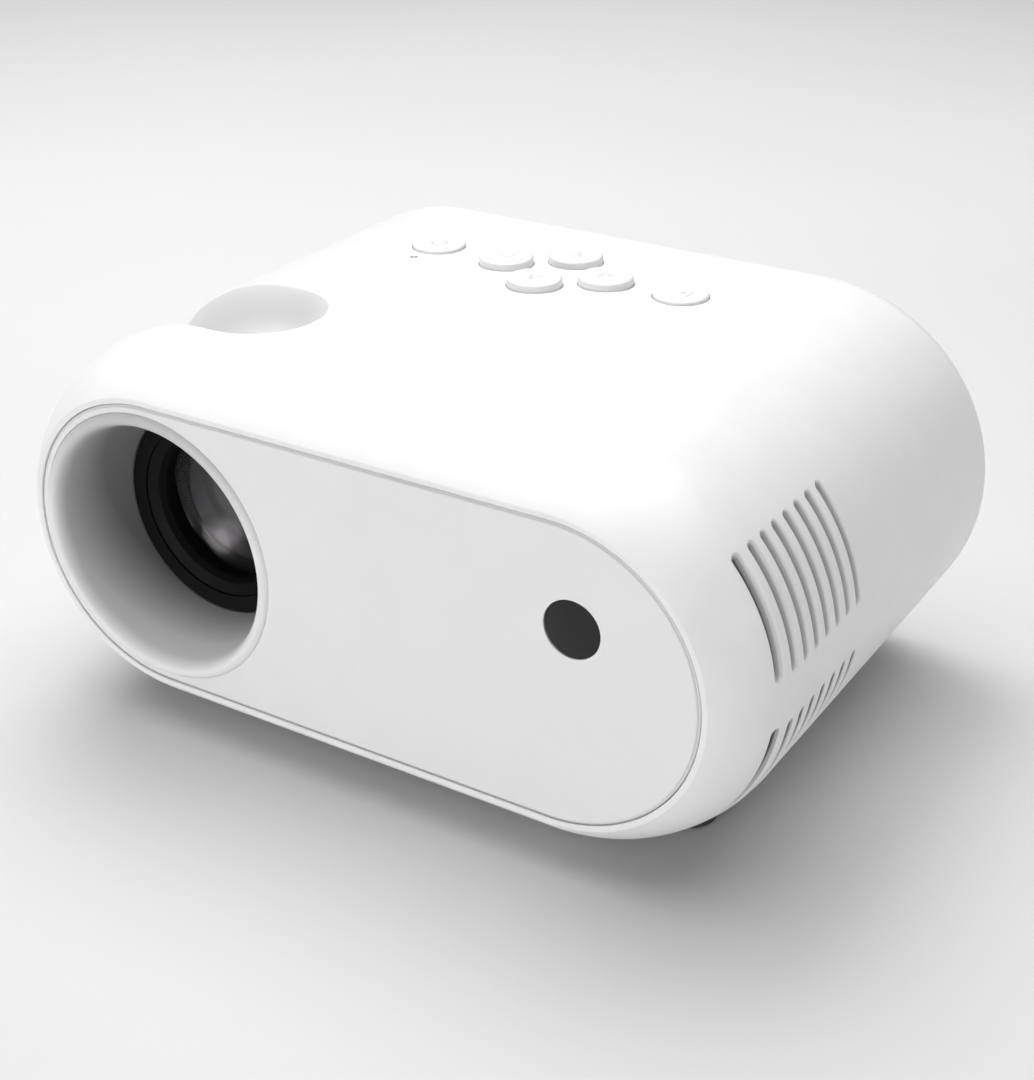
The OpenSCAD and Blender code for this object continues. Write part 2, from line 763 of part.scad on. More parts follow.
module engine_housing() {
  color([0.15, 0.15, 0.16]) placed() difference() {
    union() {
      difference() {
        translate([0, 0, -engine_half_h]) linear_extrude(height = 2 * engine_half_h - engine_wall)
          engine_outline(0);
        translate([0, 0, -engine_half_h + engine_wall]) linear_extrude(height = 2 * engine_half_h)
          engine_outline(engine_wall);
      }
      plate_rails(front_fresnel_x, 1.5);
      plate_rails(lcd_x, 2.4);
      plate_rails(rear_fresnel_x, 1.5);
      plate_rails(heat_glass_x, 1.1);
      lid_ears(ear_z, engine_half_h - engine_wall);
    }
    rod_y(lens_x, engine_y0 - 1, engine_y0 + engine_wall + 1, 0, mount_r + 0.05);
    rod_x(engine_x1 - engine_wall - 1, engine_x1 + 1, engine_y, 0, light_open_r);
    block([lcd_x - 1.4, engine_y - 12, -engine_half_h - 1],
      [lcd_x + 1.4, engine_y + 12, -engine_half_h + engine_wall + 1]);
    for (p = mount_screw_spots)
      rod_y(p[0], engine_y0 - 1, engine_y0 + engine_wall + 1, p[1], screw_r + screw_clear);
    for (p = engine_post_spots)
      rod_z(p[0], p[1], -engine_half_h - 1, -engine_half_h + engine_wall + 1, screw_r + screw_clear);
    for (p = lid_ear_spots) rod_z(p[0], p[1], ear_z + 4, engine_half_h, screw_r + screw_clear);
  }
}

module engine_lid() {
  color([0.15, 0.15, 0.16]) placed() difference() {
    union() {
      translate([0, 0, engine_half_h - engine_wall]) linear_extrude(height = engine_wall) engine_outline(0);
      lid_ears(engine_half_h - engine_wall, engine_half_h);
    }
    for (p = lid_ear_spots) rod_z(p[0], p[1], ear_z + 4, engine_half_h + 1, screw_r + screw_clear);
  }
}

module engine_screws() {
  color(steel) placed() {
    for (p = engine_post_spots)
      translate([p[0], p[1], -engine_half_h + engine_wall]) rotate([180, 0, 0]) screw(7, head_r = 2);
    for (p = lid_ear_spots) translate([p[0], p[1], engine_half_h]) rotate([180, 0, 0]) screw(8);
    for (p = mount_screw_spots)
      translate([p[0], engine_y0 - mount_flange_t, p[1]]) rotate([-90, 0, 0])
        screw(mount_flange_t + 2.6, head_r = 2);
  }
}

module fold_mirror() {
  color([0.8, 0.85, 0.9]) placed() translate([lens_x, engine_y, 0]) rotate([0, 0, 45])
    translate([-mirror_half * sqrt(2), 0, -20]) cube([2 * mirror_half * sqrt(2), mirror_t, 41]);
}

module engine_plate(x, t) {
  placed() block([x - t / 2, engine_y - plate_half_w, plate_z0],
    [x + t / 2, engine_y + plate_half_w, plate_z1]);
}

module front_fresnel() { color(glass_blue) engine_plate(front_fresnel_x, 1.5); }
module rear_fresnel() { color(glass_blue) engine_plate(rear_fresnel_x, 1.5); }
module heat_glass() { color([0.7, 0.85, 0.8, 0.5]) engine_plate(heat_glass_x, 1.1); }
module lcd_panel() { color([0.2, 0.22, 0.3]) engine_plate(lcd_x, 2.4); }

// Ribbon from the panel's lower edge through the housing floor to the main board
module lcd_flex() {
  color([0.75, 0.45, 0.15]) placed() {
    block([lcd_x - 0.2, engine_y - 6, board_top + 1], [lcd_x + 0.2, engine_y + 10, plate_z0]);
    block([lcd_x - 0.2, engine_y - 6, board_top + 1], [lcd_x + 9, engine_y + 10, board_top + 1.4]);
  }
}

module light_cone() {
  t = 1.2;
  x0 = engine_x1 + 0.1;
  big = light_open_r + 0.5;
  color([0.8, 0.8, 0.8]) placed() turned_x() polygon([
    [big, x0], [big + 2.6, x0], [big + 2.6, x0 + 2], [big + t, x0 + 2], [cone_small_r + t, cone_x1],
    [cone_small_r, cone_x1], [big, x0 + 1.6]
  ]);
}

module condenser_lens() {
  color(glass_blue) placed() turned_x() lens_outline(light_open_r - 0.2, engine_x1 - 1.4, 1.6, 0.4, 6);
}

module led_module() {
  color([0.9, 0.9, 0.85]) placed() difference() {
    union() {
      block([led_x, engine_y - led_half, -led_half], [led_x + led_t, engine_y + led_half, led_half]);
      rod_x(led_x - 1.6, led_x + eps, engine_y, 0, 7.5);
    }
    for (s = [-1, 1], t = [-1, 1])
      rod_x(led_x - 1, led_x + led_t + 1, engine_y + s * led_screw_at, t * led_screw_at,
        screw_r + screw_clear);
  }
}

module led_screws() {
  color(steel) placed() for (s = [-1, 1], t = [-1, 1])
    translate([led_x, engine_y + s * led_screw_at, t * led_screw_at]) rotate([0, 90, 0]) screw(5);
}

module heat_sink() {
  pitch = (2 * sink_half_z - fin_t) / (fin_count - 1);
  color([0.7, 0.71, 0.73]) placed() difference() {
    union() {
      block([sink_x0, engine_y - sink_half_y, -sink_half_z],
        [sink_x0 + sink_base, engine_y + sink_half_y, sink_half_z]);
      for (i = [0:fin_count - 1])
        translate([sink_x0 + sink_base - eps, engine_y - sink_half_y, -sink_half_z + i * pitch])
          cube([sink_x1 - sink_x0 - sink_base, 2 * sink_half_y, fin_t]);
    }
    for (s = [-1, 1], t = [-1, 1])
      rod_x(sink_x0 - 1, sink_x0 + 3.6, engine_y + s * led_screw_at, t * led_screw_at,
        screw_r + screw_clear);
  }
}

// ---------- fan ----------

module fan_bracket() {
  color([0.75, 0.76, 0.78]) placed() difference() {
    union() {
      block([fan_x0 - bracket_t, fan_y - fan_half, wing_z + wing_t], [fan_x0, fan_y + fan_half, fan_half]);
      block([fan_x0 - bracket_foot, fan_y - fan_half, wing_z + wing_t],
        [fan_x0, fan_y + fan_half, wing_z + wing_t + bracket_t]);
    }
    rod_x(fan_x0 - 3, fan_x0 + 1, fan_y, 0, fan_hole_r - 0.5);
    for (s = [-1, 1], t = [-1, 1])
      rod_x(fan_x0 - 3, fan_x0 + 1, fan_y + s * fan_screw_at, t * fan_screw_at, screw_r + screw_clear);
    for (y = bracket_screw_ys) rod_z(bracket_screw_x, y, wing_z, 0, screw_r + screw_clear);
  }
}

module fan_frame() {
  color([0.1, 0.1, 0.1]) placed() difference() {
    union() {
      difference() {
        block([fan_x0, fan_y - fan_half, -fan_half], [fan_x0 + fan_t, fan_y + fan_half, fan_half]);
        rod_x(fan_x0 - 1, fan_x0 + fan_t + 1, fan_y, 0, fan_hole_r);
      }
      rod_x(fan_x0 + 8, fan_x0 + fan_t, fan_y, 0, fan_hub_r);
      for (a = [45:90:315]) translate([fan_x0 + 8, fan_y, 0]) rotate([a, 0, 0])
        translate([0, fan_hub_r - 1, -1]) cube([2, fan_hole_r - fan_hub_r + 2, 2]);
    }
    rod_x(fan_x0 + 7, fan_x0 + fan_t - 0.6, fan_y, 0, fan_shaft_r + fit);
    for (s = [-1, 1], t = [-1, 1])
      rod_x(fan_x0 - 1, fan_x0 + fan_t + 1, fan_y + s * fan_screw_at, t * fan_screw_at,
        screw_r + screw_clear);
  }
}

module fan_rotor() {
  color([0.12, 0.12, 0.12]) placed() {
    rod_x(fan_x0 + 1, fan_x0 + 7.4, fan_y, 0, fan_hub_r);
    rod_x(fan_x0 + 7.3, fan_x0 + fan_t - 0.9, fan_y, 0, fan_shaft_r);
    intersection() {
      for (i = [0:fan_blades - 1]) translate([fan_x0 + 4.2, fan_y, 0]) rotate([i * 360 / fan_blades, 0, 0])
        translate([0, 0, fan_hub_r - 1]) rotate([0, 0, 38]) translate([-0.5, -5.6, 0]) cube([1, 11.2, 12]);
      rod_x(fan_x0 + 1, fan_x0 + 7.4, fan_y, 0, fan_hole_r - 0.8);
    }
  }
}

module fan_screws() {
  color(steel) placed() {
    for (s = [-1, 1], t = [-1, 1])
      translate([fan_x0 + fan_t, fan_y + s * fan_screw_at, t * fan_screw_at]) rotate([0, -90, 0])
        screw(fan_t + 1.6);
    for (y = bracket_screw_ys)
      translate([bracket_screw_x, y, wing_z + wing_t + bracket_t]) rotate([180, 0, 0]) screw(4.4);
  }
}

module dust_filter() {
  color([0.25, 0.25, 0.26]) placed() block([grille_x - 17.5, cover_y - 4.2, -14.5],
    [grille_x + 17.5, cover_y - 0.2, 14.5]);
}

// ---------- sound ----------

module speaker() {
  y1 = cover_y - 0.2;
  color([0.35, 0.35, 0.36]) placed() turned_y(speaker_x) polygon([
    [0, speaker_y0], [9, speaker_y0], [9, speaker_y0 + 5], [speaker_r - 1.6, y1 - 2.4],
      [speaker_r, y1 - 2.4],
    [speaker_r, y1], [speaker_r - 1.8, y1], [speaker_r - 3, y1 - 1.6], [7.8, speaker_y0 + 6.2],
    [7.8, speaker_y0 + 4], [0, speaker_y0 + 4]
  ]);
}

module speaker_cone() {
  y1 = cover_y - 0.4;
  color([0.08, 0.08, 0.08]) placed() turned_y(speaker_x) polygon([
    [0, speaker_y0 + 7], [4, speaker_y0 + 7.4], [speaker_r - 4.6, y1 - 1.2], [speaker_r - 3.4, y1 - 0.5],
    [speaker_r - 2.8, y1 - 0.9], [speaker_r - 3.4, y1 - 0.9], [speaker_r - 4.5, y1 - 1.9],
      [4.6, speaker_y0 + 6.4],
    [0, speaker_y0 + 6.2]
  ]);
}

// ---------- boards ----------

module main_board() {
  color(board_green) placed() difference() {
    union() {
      block([-34, 72, board_z], [41, cover_y - 3.4, board_top]);
      block([18, 80, board_top - eps], [32, 94, board_top + 1.6]);
      block([-30, 84, board_top - eps], [-20, 96, board_top + 1.2]);
      block([lcd_x + 5, engine_y - 1, board_top - eps], [lcd_x + 9.4, engine_y + 11, board_top + 0.9]);
    }
    for (p = engine_post_spots) rod_z(p[0], p[1], board_z - 1, board_top + 1, engine_post_r + 0.6);
    rod_z(0, tripod_y, board_z - 1, board_top + 3, insert_r + 3.2);
  }
}

// Metal shell with a tongue inside, open to the back
module flat_socket(x, size, tongue) {
  placed() {
    z1 = board_top + size[2];
    difference() {
      block([x - size[0] / 2, port_y - size[1], board_top], [x + size[0] / 2, port_y, z1]);
      block([x - size[0] / 2 + 0.5, port_y - size[1] + 1, board_top + 0.5],
        [x + size[0] / 2 - 0.5, port_y + 1, z1 - 0.5]);
    }
    block([x - size[0] / 2 + 1.4, port_y - size[1] + 0.9, tongue],
      [x + size[0] / 2 - 1.4, port_y - 1, tongue + 1.6]);
  }
}

module hdmi_socket() { color(steel) flat_socket(hdmi_x, hdmi_size, board_top + 2.1); }
module usb_socket() { color(steel) flat_socket(usb_x, usb_size, board_top + 3.9); }

module av_socket() {
  color([0.1, 0.1, 0.1]) placed() difference() {
    union() {
      block([av_x - av_size[0] / 2, port_y - av_size[1], board_top],
        [av_x + av_size[0] / 2, port_y, board_top + av_size[2]]);
      rod_y(av_x, port_y - 1, port_y + 2, av_z, 2.7);
    }
    rod_y(av_x, port_y - 10, port_y + 3, av_z, av_bore_r);
  }
}

module dc_socket() {
  color([0.1, 0.1, 0.1]) placed() {
    difference() {
      block([dc_x - dc_size[0] / 2, port_y - dc_size[1], board_top],
        [dc_x + dc_size[0] / 2, port_y, board_top + dc_size[2]]);
      rod_y(dc_x, port_y - 9, port_y + 1, dc_z, dc_bore_r);
    }
    rod_y(dc_x, port_y - 9.5, port_y - 0.5, dc_z, dc_pin_r);
  }
}

module power_board() {
  color(board_green) placed() {
    block([-22, 10.5, board_z], [40, 46, board_top]);
    for (x = [-12, 2]) rod_z(x, 38, board_top - eps, board_top + 15, 5);
    rod_z(16, 37, board_top - eps, board_top + 7, 6);
    block([26, 30, board_top - eps], [36, 42, board_top + 9]);
    block([-8, 14, board_top - eps], [12, 24, board_top + 2]);
  }
}

module ir_board() {
  color(board_green) placed() {
    block([ir_x - 7, 6, ir_z - 8], [ir_x + 7, 7.2, ir_z + 8]);
    rod_y(ir_x, 3.6, 6 + eps, ir_z, 2.6);
  }
}

outer_shell();
front_panel();
lens_hood();
ir_window();
rear_cover();
rear_cover_screws();
panel_screws();
chassis_screws();
button_power();
button_left();
button_up();
button_down();
button_right();
button_source();
keypad_mat();
keypad_board();
light_pipe();
foot_front_left();
foot_front_right();
foot_rear_left();
foot_rear_right();
tripod_insert();
chassis();
focus_ring();
ring_retainer();
lens_mount();
lens_barrel();
focus_pins();
front_lens();
middle_lens();
rear_lens();
lens_retainer();
engine_housing();
engine_lid();
engine_screws();
fold_mirror();
front_fresnel();
lcd_panel();
rear_fresnel();
heat_glass();
light_cone();
condenser_lens();
led_module();
led_screws();
heat_sink();
fan_bracket();
fan_frame();
fan_rotor();
fan_screws();
dust_filter();
speaker();
speaker_cone();
main_board();
hdmi_socket();
usb_socket();
av_socket();
dc_socket();
power_board();
ir_board();
lcd_flex();
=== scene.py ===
"""Looks of the home projector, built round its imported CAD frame.

Pieces are made in the casing's own millimetres: x across, y back from the front rim, z up from mid height.
"""
import json
import math

import bmesh
import bpy
import numpy as np
from mathutils import Matrix, Vector
from mathutils.geometry import delaunay_2d_cdt


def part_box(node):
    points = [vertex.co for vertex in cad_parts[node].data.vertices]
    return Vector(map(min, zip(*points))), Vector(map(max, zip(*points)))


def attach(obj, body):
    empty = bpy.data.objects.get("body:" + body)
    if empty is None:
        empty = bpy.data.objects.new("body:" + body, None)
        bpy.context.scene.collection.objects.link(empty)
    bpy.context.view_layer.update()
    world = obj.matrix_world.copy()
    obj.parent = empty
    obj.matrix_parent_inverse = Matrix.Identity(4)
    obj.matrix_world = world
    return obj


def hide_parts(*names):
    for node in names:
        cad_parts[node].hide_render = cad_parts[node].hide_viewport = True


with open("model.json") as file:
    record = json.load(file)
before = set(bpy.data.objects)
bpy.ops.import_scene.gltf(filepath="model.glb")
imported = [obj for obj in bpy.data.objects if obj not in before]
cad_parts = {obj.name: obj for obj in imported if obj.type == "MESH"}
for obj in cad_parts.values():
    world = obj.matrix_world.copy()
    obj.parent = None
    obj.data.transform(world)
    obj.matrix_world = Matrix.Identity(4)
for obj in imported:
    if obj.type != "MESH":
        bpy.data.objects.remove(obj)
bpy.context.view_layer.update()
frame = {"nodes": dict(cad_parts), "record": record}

# ---------- sizes, in millimetres ----------

MM = 0.001
shell_lo, shell_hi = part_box("outer_shell")
CASE_Y = shell_lo.y / MM
CASE_Z = (shell_lo.z + shell_hi.z) / 2 / MM
END_R = (shell_hi.z - shell_lo.z) / 2 / MM
HALF_SPAN = (shell_hi.x - shell_lo.x) / 2 / MM - END_R
BODY_D = (shell_hi.y - shell_lo.y) / MM


def centre_of(node):
    """Middle of a CAD node's box, in the casing's millimetres."""
    lo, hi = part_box(node)
    return (lo + hi) / 2 / MM - Vector((0, CASE_Y, CASE_Z))


LENS_X = -HALF_SPAN
WALL = 2.4
IN_R = END_R - WALL

FRONT_ROUND, FRONT_ROUND_D = 25.6, 19.0
BACK_ROUND, BACK_ROUND_D = 8.1, 7.6
FRONT_OPEN_R = 30.4
LEDGE_Y = 3.0
LEDGE_R = 31.2
COVER_T = 2.8
COVER_Y = BODY_D - COVER_T
COVER_R = 33.2
BACK_OPEN_R, BACK_LIP_R, BACK_LIP_T = 33.6, 31.5, 3.2
PANEL_R, PANEL_T = 29.5, 2.2

SCOOP_Y = centre_of("focus_ring").y
SCOOP_D, SCOOP_HALF_W = 10.0, 14.0
SCOOP_START, SCOOP_END = 87.4, 140.0
SCOOP_R = (SCOOP_HALF_W ** 2 + SCOOP_D ** 2) / (2 * SCOOP_D)
SCOOP_C = END_R - SCOOP_D + SCOOP_R
SCOOP_LIP = 0.8
LINER_T = 2.0
RING_R, RING_W = 30.0, 8.0
MOUNT_R = 23.0

BUTTON_R = 5.85
BUTTON_GAP = 0.13
BUTTONS = ("power", "left", "up", "down", "right", "source")
OUTER_BUTTONS = ("power", "source")
SPOTS = {key: centre_of("button_" + key).to_2d() for key in BUTTONS}
LED_AT = centre_of("light_pipe").to_2d()

VENT_HALF_W, VENT_PITCH, VENT_Y, VENTS = 1.1, 4.56, 12.5, 8
VENT_BANKS = ((6.5, 42.3), (-42.3, -7.3))
CHASSIS_SCREWS = [(x, y) for x in (-36, 36) for y in (24, 103)]
TRIPOD_Y = centre_of("tripod_insert").y
INSERT_R = 4.5

HOOD_R, HOOD_OPEN_R, HOOD_PROUD = 28.7, 25.7, 0.8
BARREL_Y, BARREL_R = 18.6, 22.3
IR_X, _, IR_Z = centre_of("ir_window")
IR_R = 5.6

FOOT_R, FOOT_X, PEG_R = 6.0, 59.0, 2.5
FEET = {
    "foot_front_left": (-1, 31.0), "foot_front_right": (1, 31.0),
    "foot_rear_left": (-1, 87.0), "foot_rear_right": (1, 87.0),
}
TABLE_Z = -CASE_Z

COVER_SCREW_ANGLE, COVER_SCREW_R = math.radians(50), 28.0
COVER_SCREW_X = HALF_SPAN + COVER_SCREW_R * math.cos(COVER_SCREW_ANGLE)
COVER_SCREW_Z = COVER_SCREW_R * math.sin(COVER_SCREW_ANGLE)
COVER_SCREWS = [(s * COVER_SCREW_X, t * COVER_SCREW_Z) for s in (-1, 1) for t in (-1, 1)]
GRILLE_X, GRILLE_HALF_H = centre_of("dust_filter").x, 12.0
SPEAKER_X, SPEAKER_PITCH = centre_of("speaker").x, 3.9
BOARD_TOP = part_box("hdmi_socket")[0].z / MM - CASE_Z
HDMI_X, USB_X, AV_X, DC_X = (centre_of(key + "_socket").x for key in ("hdmi", "usb", "av", "dc"))


# ---------- materials ----------

class Nodes:
    """A material's node tree, with short ways to add to it."""

    def __init__(self, name, colour, roughness, **sockets):
        self.material = bpy.data.materials.new(name)
        self.material.use_nodes = True
        self.tree = self.material.node_tree
        self.tree.nodes.clear()
        self.shader = self.tree.nodes.new("ShaderNodeBsdfPrincipled")
        self.output = self.tree.nodes.new("ShaderNodeOutputMaterial")
        self.link(self.shader.outputs[0], self.output.inputs["Surface"])
        self.shader.inputs["Base Color"].default_value = (*colour, 1)
        self.shader.inputs["Roughness"].default_value = roughness
        for socket, value in sockets.items():
            self.shader.inputs[socket.replace("_", " ")].default_value = value
        self.place = self.tree.nodes.new("ShaderNodeTexCoord").outputs["Object"]
        self.bumps = None

    def link(self, a, b):
        self.tree.links.new(a, b)

    def add(self, kind, **settings):
        node = self.tree.nodes.new(kind)
        for key, value in settings.items():
            setattr(node, key, value)
        return node

    def noise(self, size_mm, detail=3.0, stretch=(1, 1, 1)):
        """Cloudy noise whose blobs are about size_mm across."""
        node = self.add("ShaderNodeTexNoise")
        node.inputs["Scale"].default_value = 1 / (size_mm * MM)
        node.inputs["Detail"].default_value = detail
        self.link(self.stretched(stretch), node.inputs["Vector"])
        return node.outputs["Fac"]

    def cells(self, size_mm):
        node = self.add("ShaderNodeTexVoronoi")
        node.inputs["Scale"].default_value = 1 / (size_mm * MM)
        self.link(self.place, node.inputs["Vector"])
        return node.outputs["Distance"]

    def stretched(self, stretch):
        if stretch == (1, 1, 1):
            return self.place
        node = self.add("ShaderNodeMapping")
        node.inputs["Scale"].default_value = stretch
        self.link(self.place, node.inputs["Vector"])
        return node.outputs["Vector"]

    def ranged(self, value, low, high, start=0.3, stop=0.7):
        node = self.add("ShaderNodeMapRange")
        node.inputs["From Min"].default_value = start
        node.inputs["From Max"].default_value = stop
        node.inputs["To Min"].default_value = low
        node.inputs["To Max"].default_value = high
        self.link(value, node.inputs["Value"])
        return node.outputs["Result"]

    def colours(self, value, first, second, start=0.3, stop=0.7):
        """Runs from the first colour to the second as value runs from start to stop."""
        node = self.add("ShaderNodeMix", data_type="RGBA")
        self.link(self.ranged(value, 0, 1, start, stop), node.inputs["Factor"])
        node.inputs["A"].default_value = (*first, 1)
        node.inputs["B"].default_value = (*second, 1)
        self.link(node.outputs["Result"], self.shader.inputs["Base Color"])

    def tint(self, share, colour):
        """Lays another colour over the base colour, by a share from nought to one."""
        base = self.shader.inputs["Base Color"]
        node = self.add("ShaderNodeMix", data_type="RGBA")
        self.link(share, node.inputs["Factor"])
        self.link(base.links[0].from_socket, node.inputs["A"])
        node.inputs["B"].default_value = (*colour, 1)
        self.link(node.outputs["Result"], base)

    def times(self, first, second):
        node = self.add("ShaderNodeMath", operation="MULTIPLY")
        self.link(first, node.inputs[0])
        self.link(second, node.inputs[1])
        return node.outputs["Value"]

    def between(self, front, back):
        """One between two distances behind the rim, in millimetres, and nought outside them."""
        apart = self.add("ShaderNodeSeparateXYZ")
        self.link(self.place, apart.inputs[0])
        entry = self.ranged(apart.outputs["Y"], 0, 1, (CASE_Y + front) * MM, (CASE_Y + front + 0.4) * MM)
        leaving = self.ranged(apart.outputs["Y"], 1, 0, (CASE_Y + back - 0.4) * MM, (CASE_Y + back) * MM)
        return self.times(entry, leaving)

    def below(self, z):
        """One below z, in the casing's millimetres, and nought above it."""
        apart = self.add("ShaderNodeSeparateXYZ")
        self.link(self.place, apart.inputs[0])
        return self.ranged(apart.outputs["Z"], 1, 0, (CASE_Z + z - 1) * MM, (CASE_Z + z) * MM)

    def within(self, x, near, far):
        """One within near millimetres of the line along y at x and mid height, and nought beyond far."""
        off = self.add("ShaderNodeVectorMath", operation="DISTANCE")
        off.inputs[1].default_value = (x * MM, 0, CASE_Z * MM)
        self.link(self.stretched((1, 0, 1)), off.inputs[0])
        return self.ranged(off.outputs["Value"], 1, 0, near * MM, far * MM)

    def rough(self, value, low, high):
        self.link(self.ranged(value, low, high), self.shader.inputs["Roughness"])

    def bump(self, value, depth_mm, strength=1.0):
        """Adds relief of about depth_mm on top of the bumps there are."""
        node = self.add("ShaderNodeBump")
        node.inputs["Distance"].default_value = depth_mm * MM
        node.inputs["Strength"].default_value = strength
        self.link(value, node.inputs["Height"])
        if self.bumps is not None:
            self.link(self.bumps, node.inputs["Normal"])
        self.bumps = node.outputs["Normal"]
        self.link(self.bumps, self.shader.inputs["Normal"])


def tinted(colour, share):
    return tuple(c * share for c in colour)


def plastic(name, colour, roughness, grain_mm, grain_depth, spread=0.04, **sockets):
    """Moulded plastic: spark-eroded grain, a slight mottle in colour and in gloss."""
    m = Nodes(name, colour, roughness, **sockets)
    m.colours(m.noise(9), tinted(colour, 1 - spread * 0.35), tinted(colour, 1 + spread * 0.15))
    m.rough(m.noise(2.5, 4), roughness - spread, roughness + spread)
    m.bump(m.noise(7, 1), 0.02, 0.35)
    m.bump(m.noise(grain_mm, 2), grain_depth)
    return m


def moulded(*look, **sockets):
    return plastic(*look, **sockets).material


def white_casing():
    """White plastic, with painted shade: a little greyer in the finger recess and on slot walls, darkest in
    the lower bank.
    """
    m = plastic("casing", (0.88, 0.88, 0.878), 0.42, 0.35, 0.006, 0.05, Coat_Weight=0.06)
    # Painted shade: the finger recess is greyed as if less light reached it.
    recess = m.between(SCOOP_Y - SCOOP_HALF_W - 0.6, SCOOP_Y + SCOOP_HALF_W + 1)
    m.tint(m.times(m.within(LENS_X, END_R - 6, END_R - 0.2), recess), (0.72,) * 3)
    last_slot = VENT_Y + VENTS * VENT_PITCH
    # Painted shade on the slot walls, darker again in the lower bank.
    for reach, front in ((1.3, VENT_Y - 1.6), (0.45, VENT_Y + 2.9), (0.25, FRONT_ROUND_D)):
        sunk = m.within(HALF_SPAN, END_R - reach - 0.4, END_R - reach)
        walls = m.times(sunk, m.between(front, last_slot))
        m.tint(walls, (0.6,) * 3)
        m.tint(m.times(walls, m.below(-3)), (0.2,) * 3)
    return m.material


def white_caps():
    """White plastic with painted shade: the sides are a little greyer than the faces."""
    m = plastic("buttons", (0.87, 0.87, 0.868), 0.38, 0.3, 0.005, Coat_Weight=0.1)
    # Painted shade: faces turned away from up are greyed, as if less lit.
    upright = m.add("ShaderNodeVectorMath", operation="DOT_PRODUCT")
    upright.inputs[1].default_value = (0, 0, 1)
    m.link(m.add("ShaderNodeNewGeometry").outputs["Normal"], upright.inputs[0])
    m.tint(m.ranged(upright.outputs["Value"], 1, 0, 0.3, 0.8), (0.72,) * 3)
    m.tint(m.add("ShaderNodeAttribute", attribute_name="sign").outputs["Fac"], (0.74,) * 3)
    return m.material


def metal(name, colour, roughness, brush=(1, 1, 1)):
    m = Nodes(name, colour, roughness, Metallic=1.0)
    brush_mm = 0.4
    m.colours(m.noise(3), tinted(colour, 0.93), tinted(colour, 1.04))
    m.rough(m.noise(brush_mm, 3, brush), roughness - 0.08, roughness + 0.1)
    m.bump(m.noise(brush_mm, 2, brush), 0.006)
    return m.material


def circuit_board():
    m = Nodes("circuit_board", (0.03, 0.16, 0.07), 0.38, Coat_Weight=0.4)
    traces = m.add("ShaderNodeTexBrick")
    traces.inputs["Scale"].default_value = 1 / (3.2 * MM)
    traces.inputs["Mortar Size"].default_value = 0.012
    m.link(m.place, traces.inputs["Vector"])
    m.colours(traces.outputs["Fac"], (0.025, 0.15, 0.06), (0.06, 0.27, 0.12), 0.2, 0.8)
    m.rough(m.noise(1.5), 0.3, 0.45)
    m.bump(traces.outputs["Fac"], 0.03)
    return m.material


def foam():
    m = Nodes("foam", (0.05, 0.05, 0.052), 0.95, Sheen_Weight=0.3)
    m.colours(m.cells(0.9), (0.015, 0.015, 0.016), (0.11, 0.11, 0.115), 0.1, 0.6)
    m.bump(m.cells(0.9), 0.5)
    m.bump(m.noise(0.3), 0.1)
    return m.material


def clear(name, colour, roughness, ior):
    m = Nodes(name, colour, roughness, Transmission_Weight=1.0, IOR=ior)
    m.rough(m.noise(14, 2), roughness, roughness + 0.025)
    return m.material


def dark_screen(name, colour, roughness, shine=0.5):
    m = Nodes(name, colour, roughness, Specular_IOR_Level=shine)
    m.colours(m.noise(6), colour, tinted(colour, 1.25))
    m.rough(m.noise(3), roughness - 0.03, roughness + 0.04)
    m.bump(m.noise(5, 1), 0.01, 0.3)
    return m.material


def rubber(name, colour):
    m = Nodes(name, colour, 0.72, Sheen_Weight=0.12)
    m.colours(m.noise(4), tinted(colour, 0.85), tinted(colour, 1.15))
    m.rough(m.noise(1.2, 4), 0.62, 0.82)
    m.bump(m.noise(0.25, 3), 0.03)
    return m.material


def funnel():
    """The hood's plastic with painted shade: near white at the bead and grey towards the lens, most of all
    above.
    """
    m = Nodes("hood", (0.8, 0.8, 0.8), 0.5)
    # Painted shade: greyer deeper into the funnel, towards the left and higher up.
    depth = m.add("ShaderNodeVectorMath", operation="DOT_PRODUCT")
    aside, lean = 0.002, 0.016
    depth.inputs[1].default_value = (-aside / MM, 1 / (BARREL_Y * MM), lean / MM)
    m.link(m.place, depth.inputs[0])
    start = CASE_Y / BARREL_Y + lean * CASE_Z - aside * LENS_X
    m.colours(depth.outputs["Value"], (0.84, 0.84, 0.838), (0.29, 0.286, 0.288), start, start + 0.75)
    m.rough(m.noise(2.5, 4), 0.46, 0.54)
    m.bump(m.noise(0.3, 2), 0.008)
    return m.material


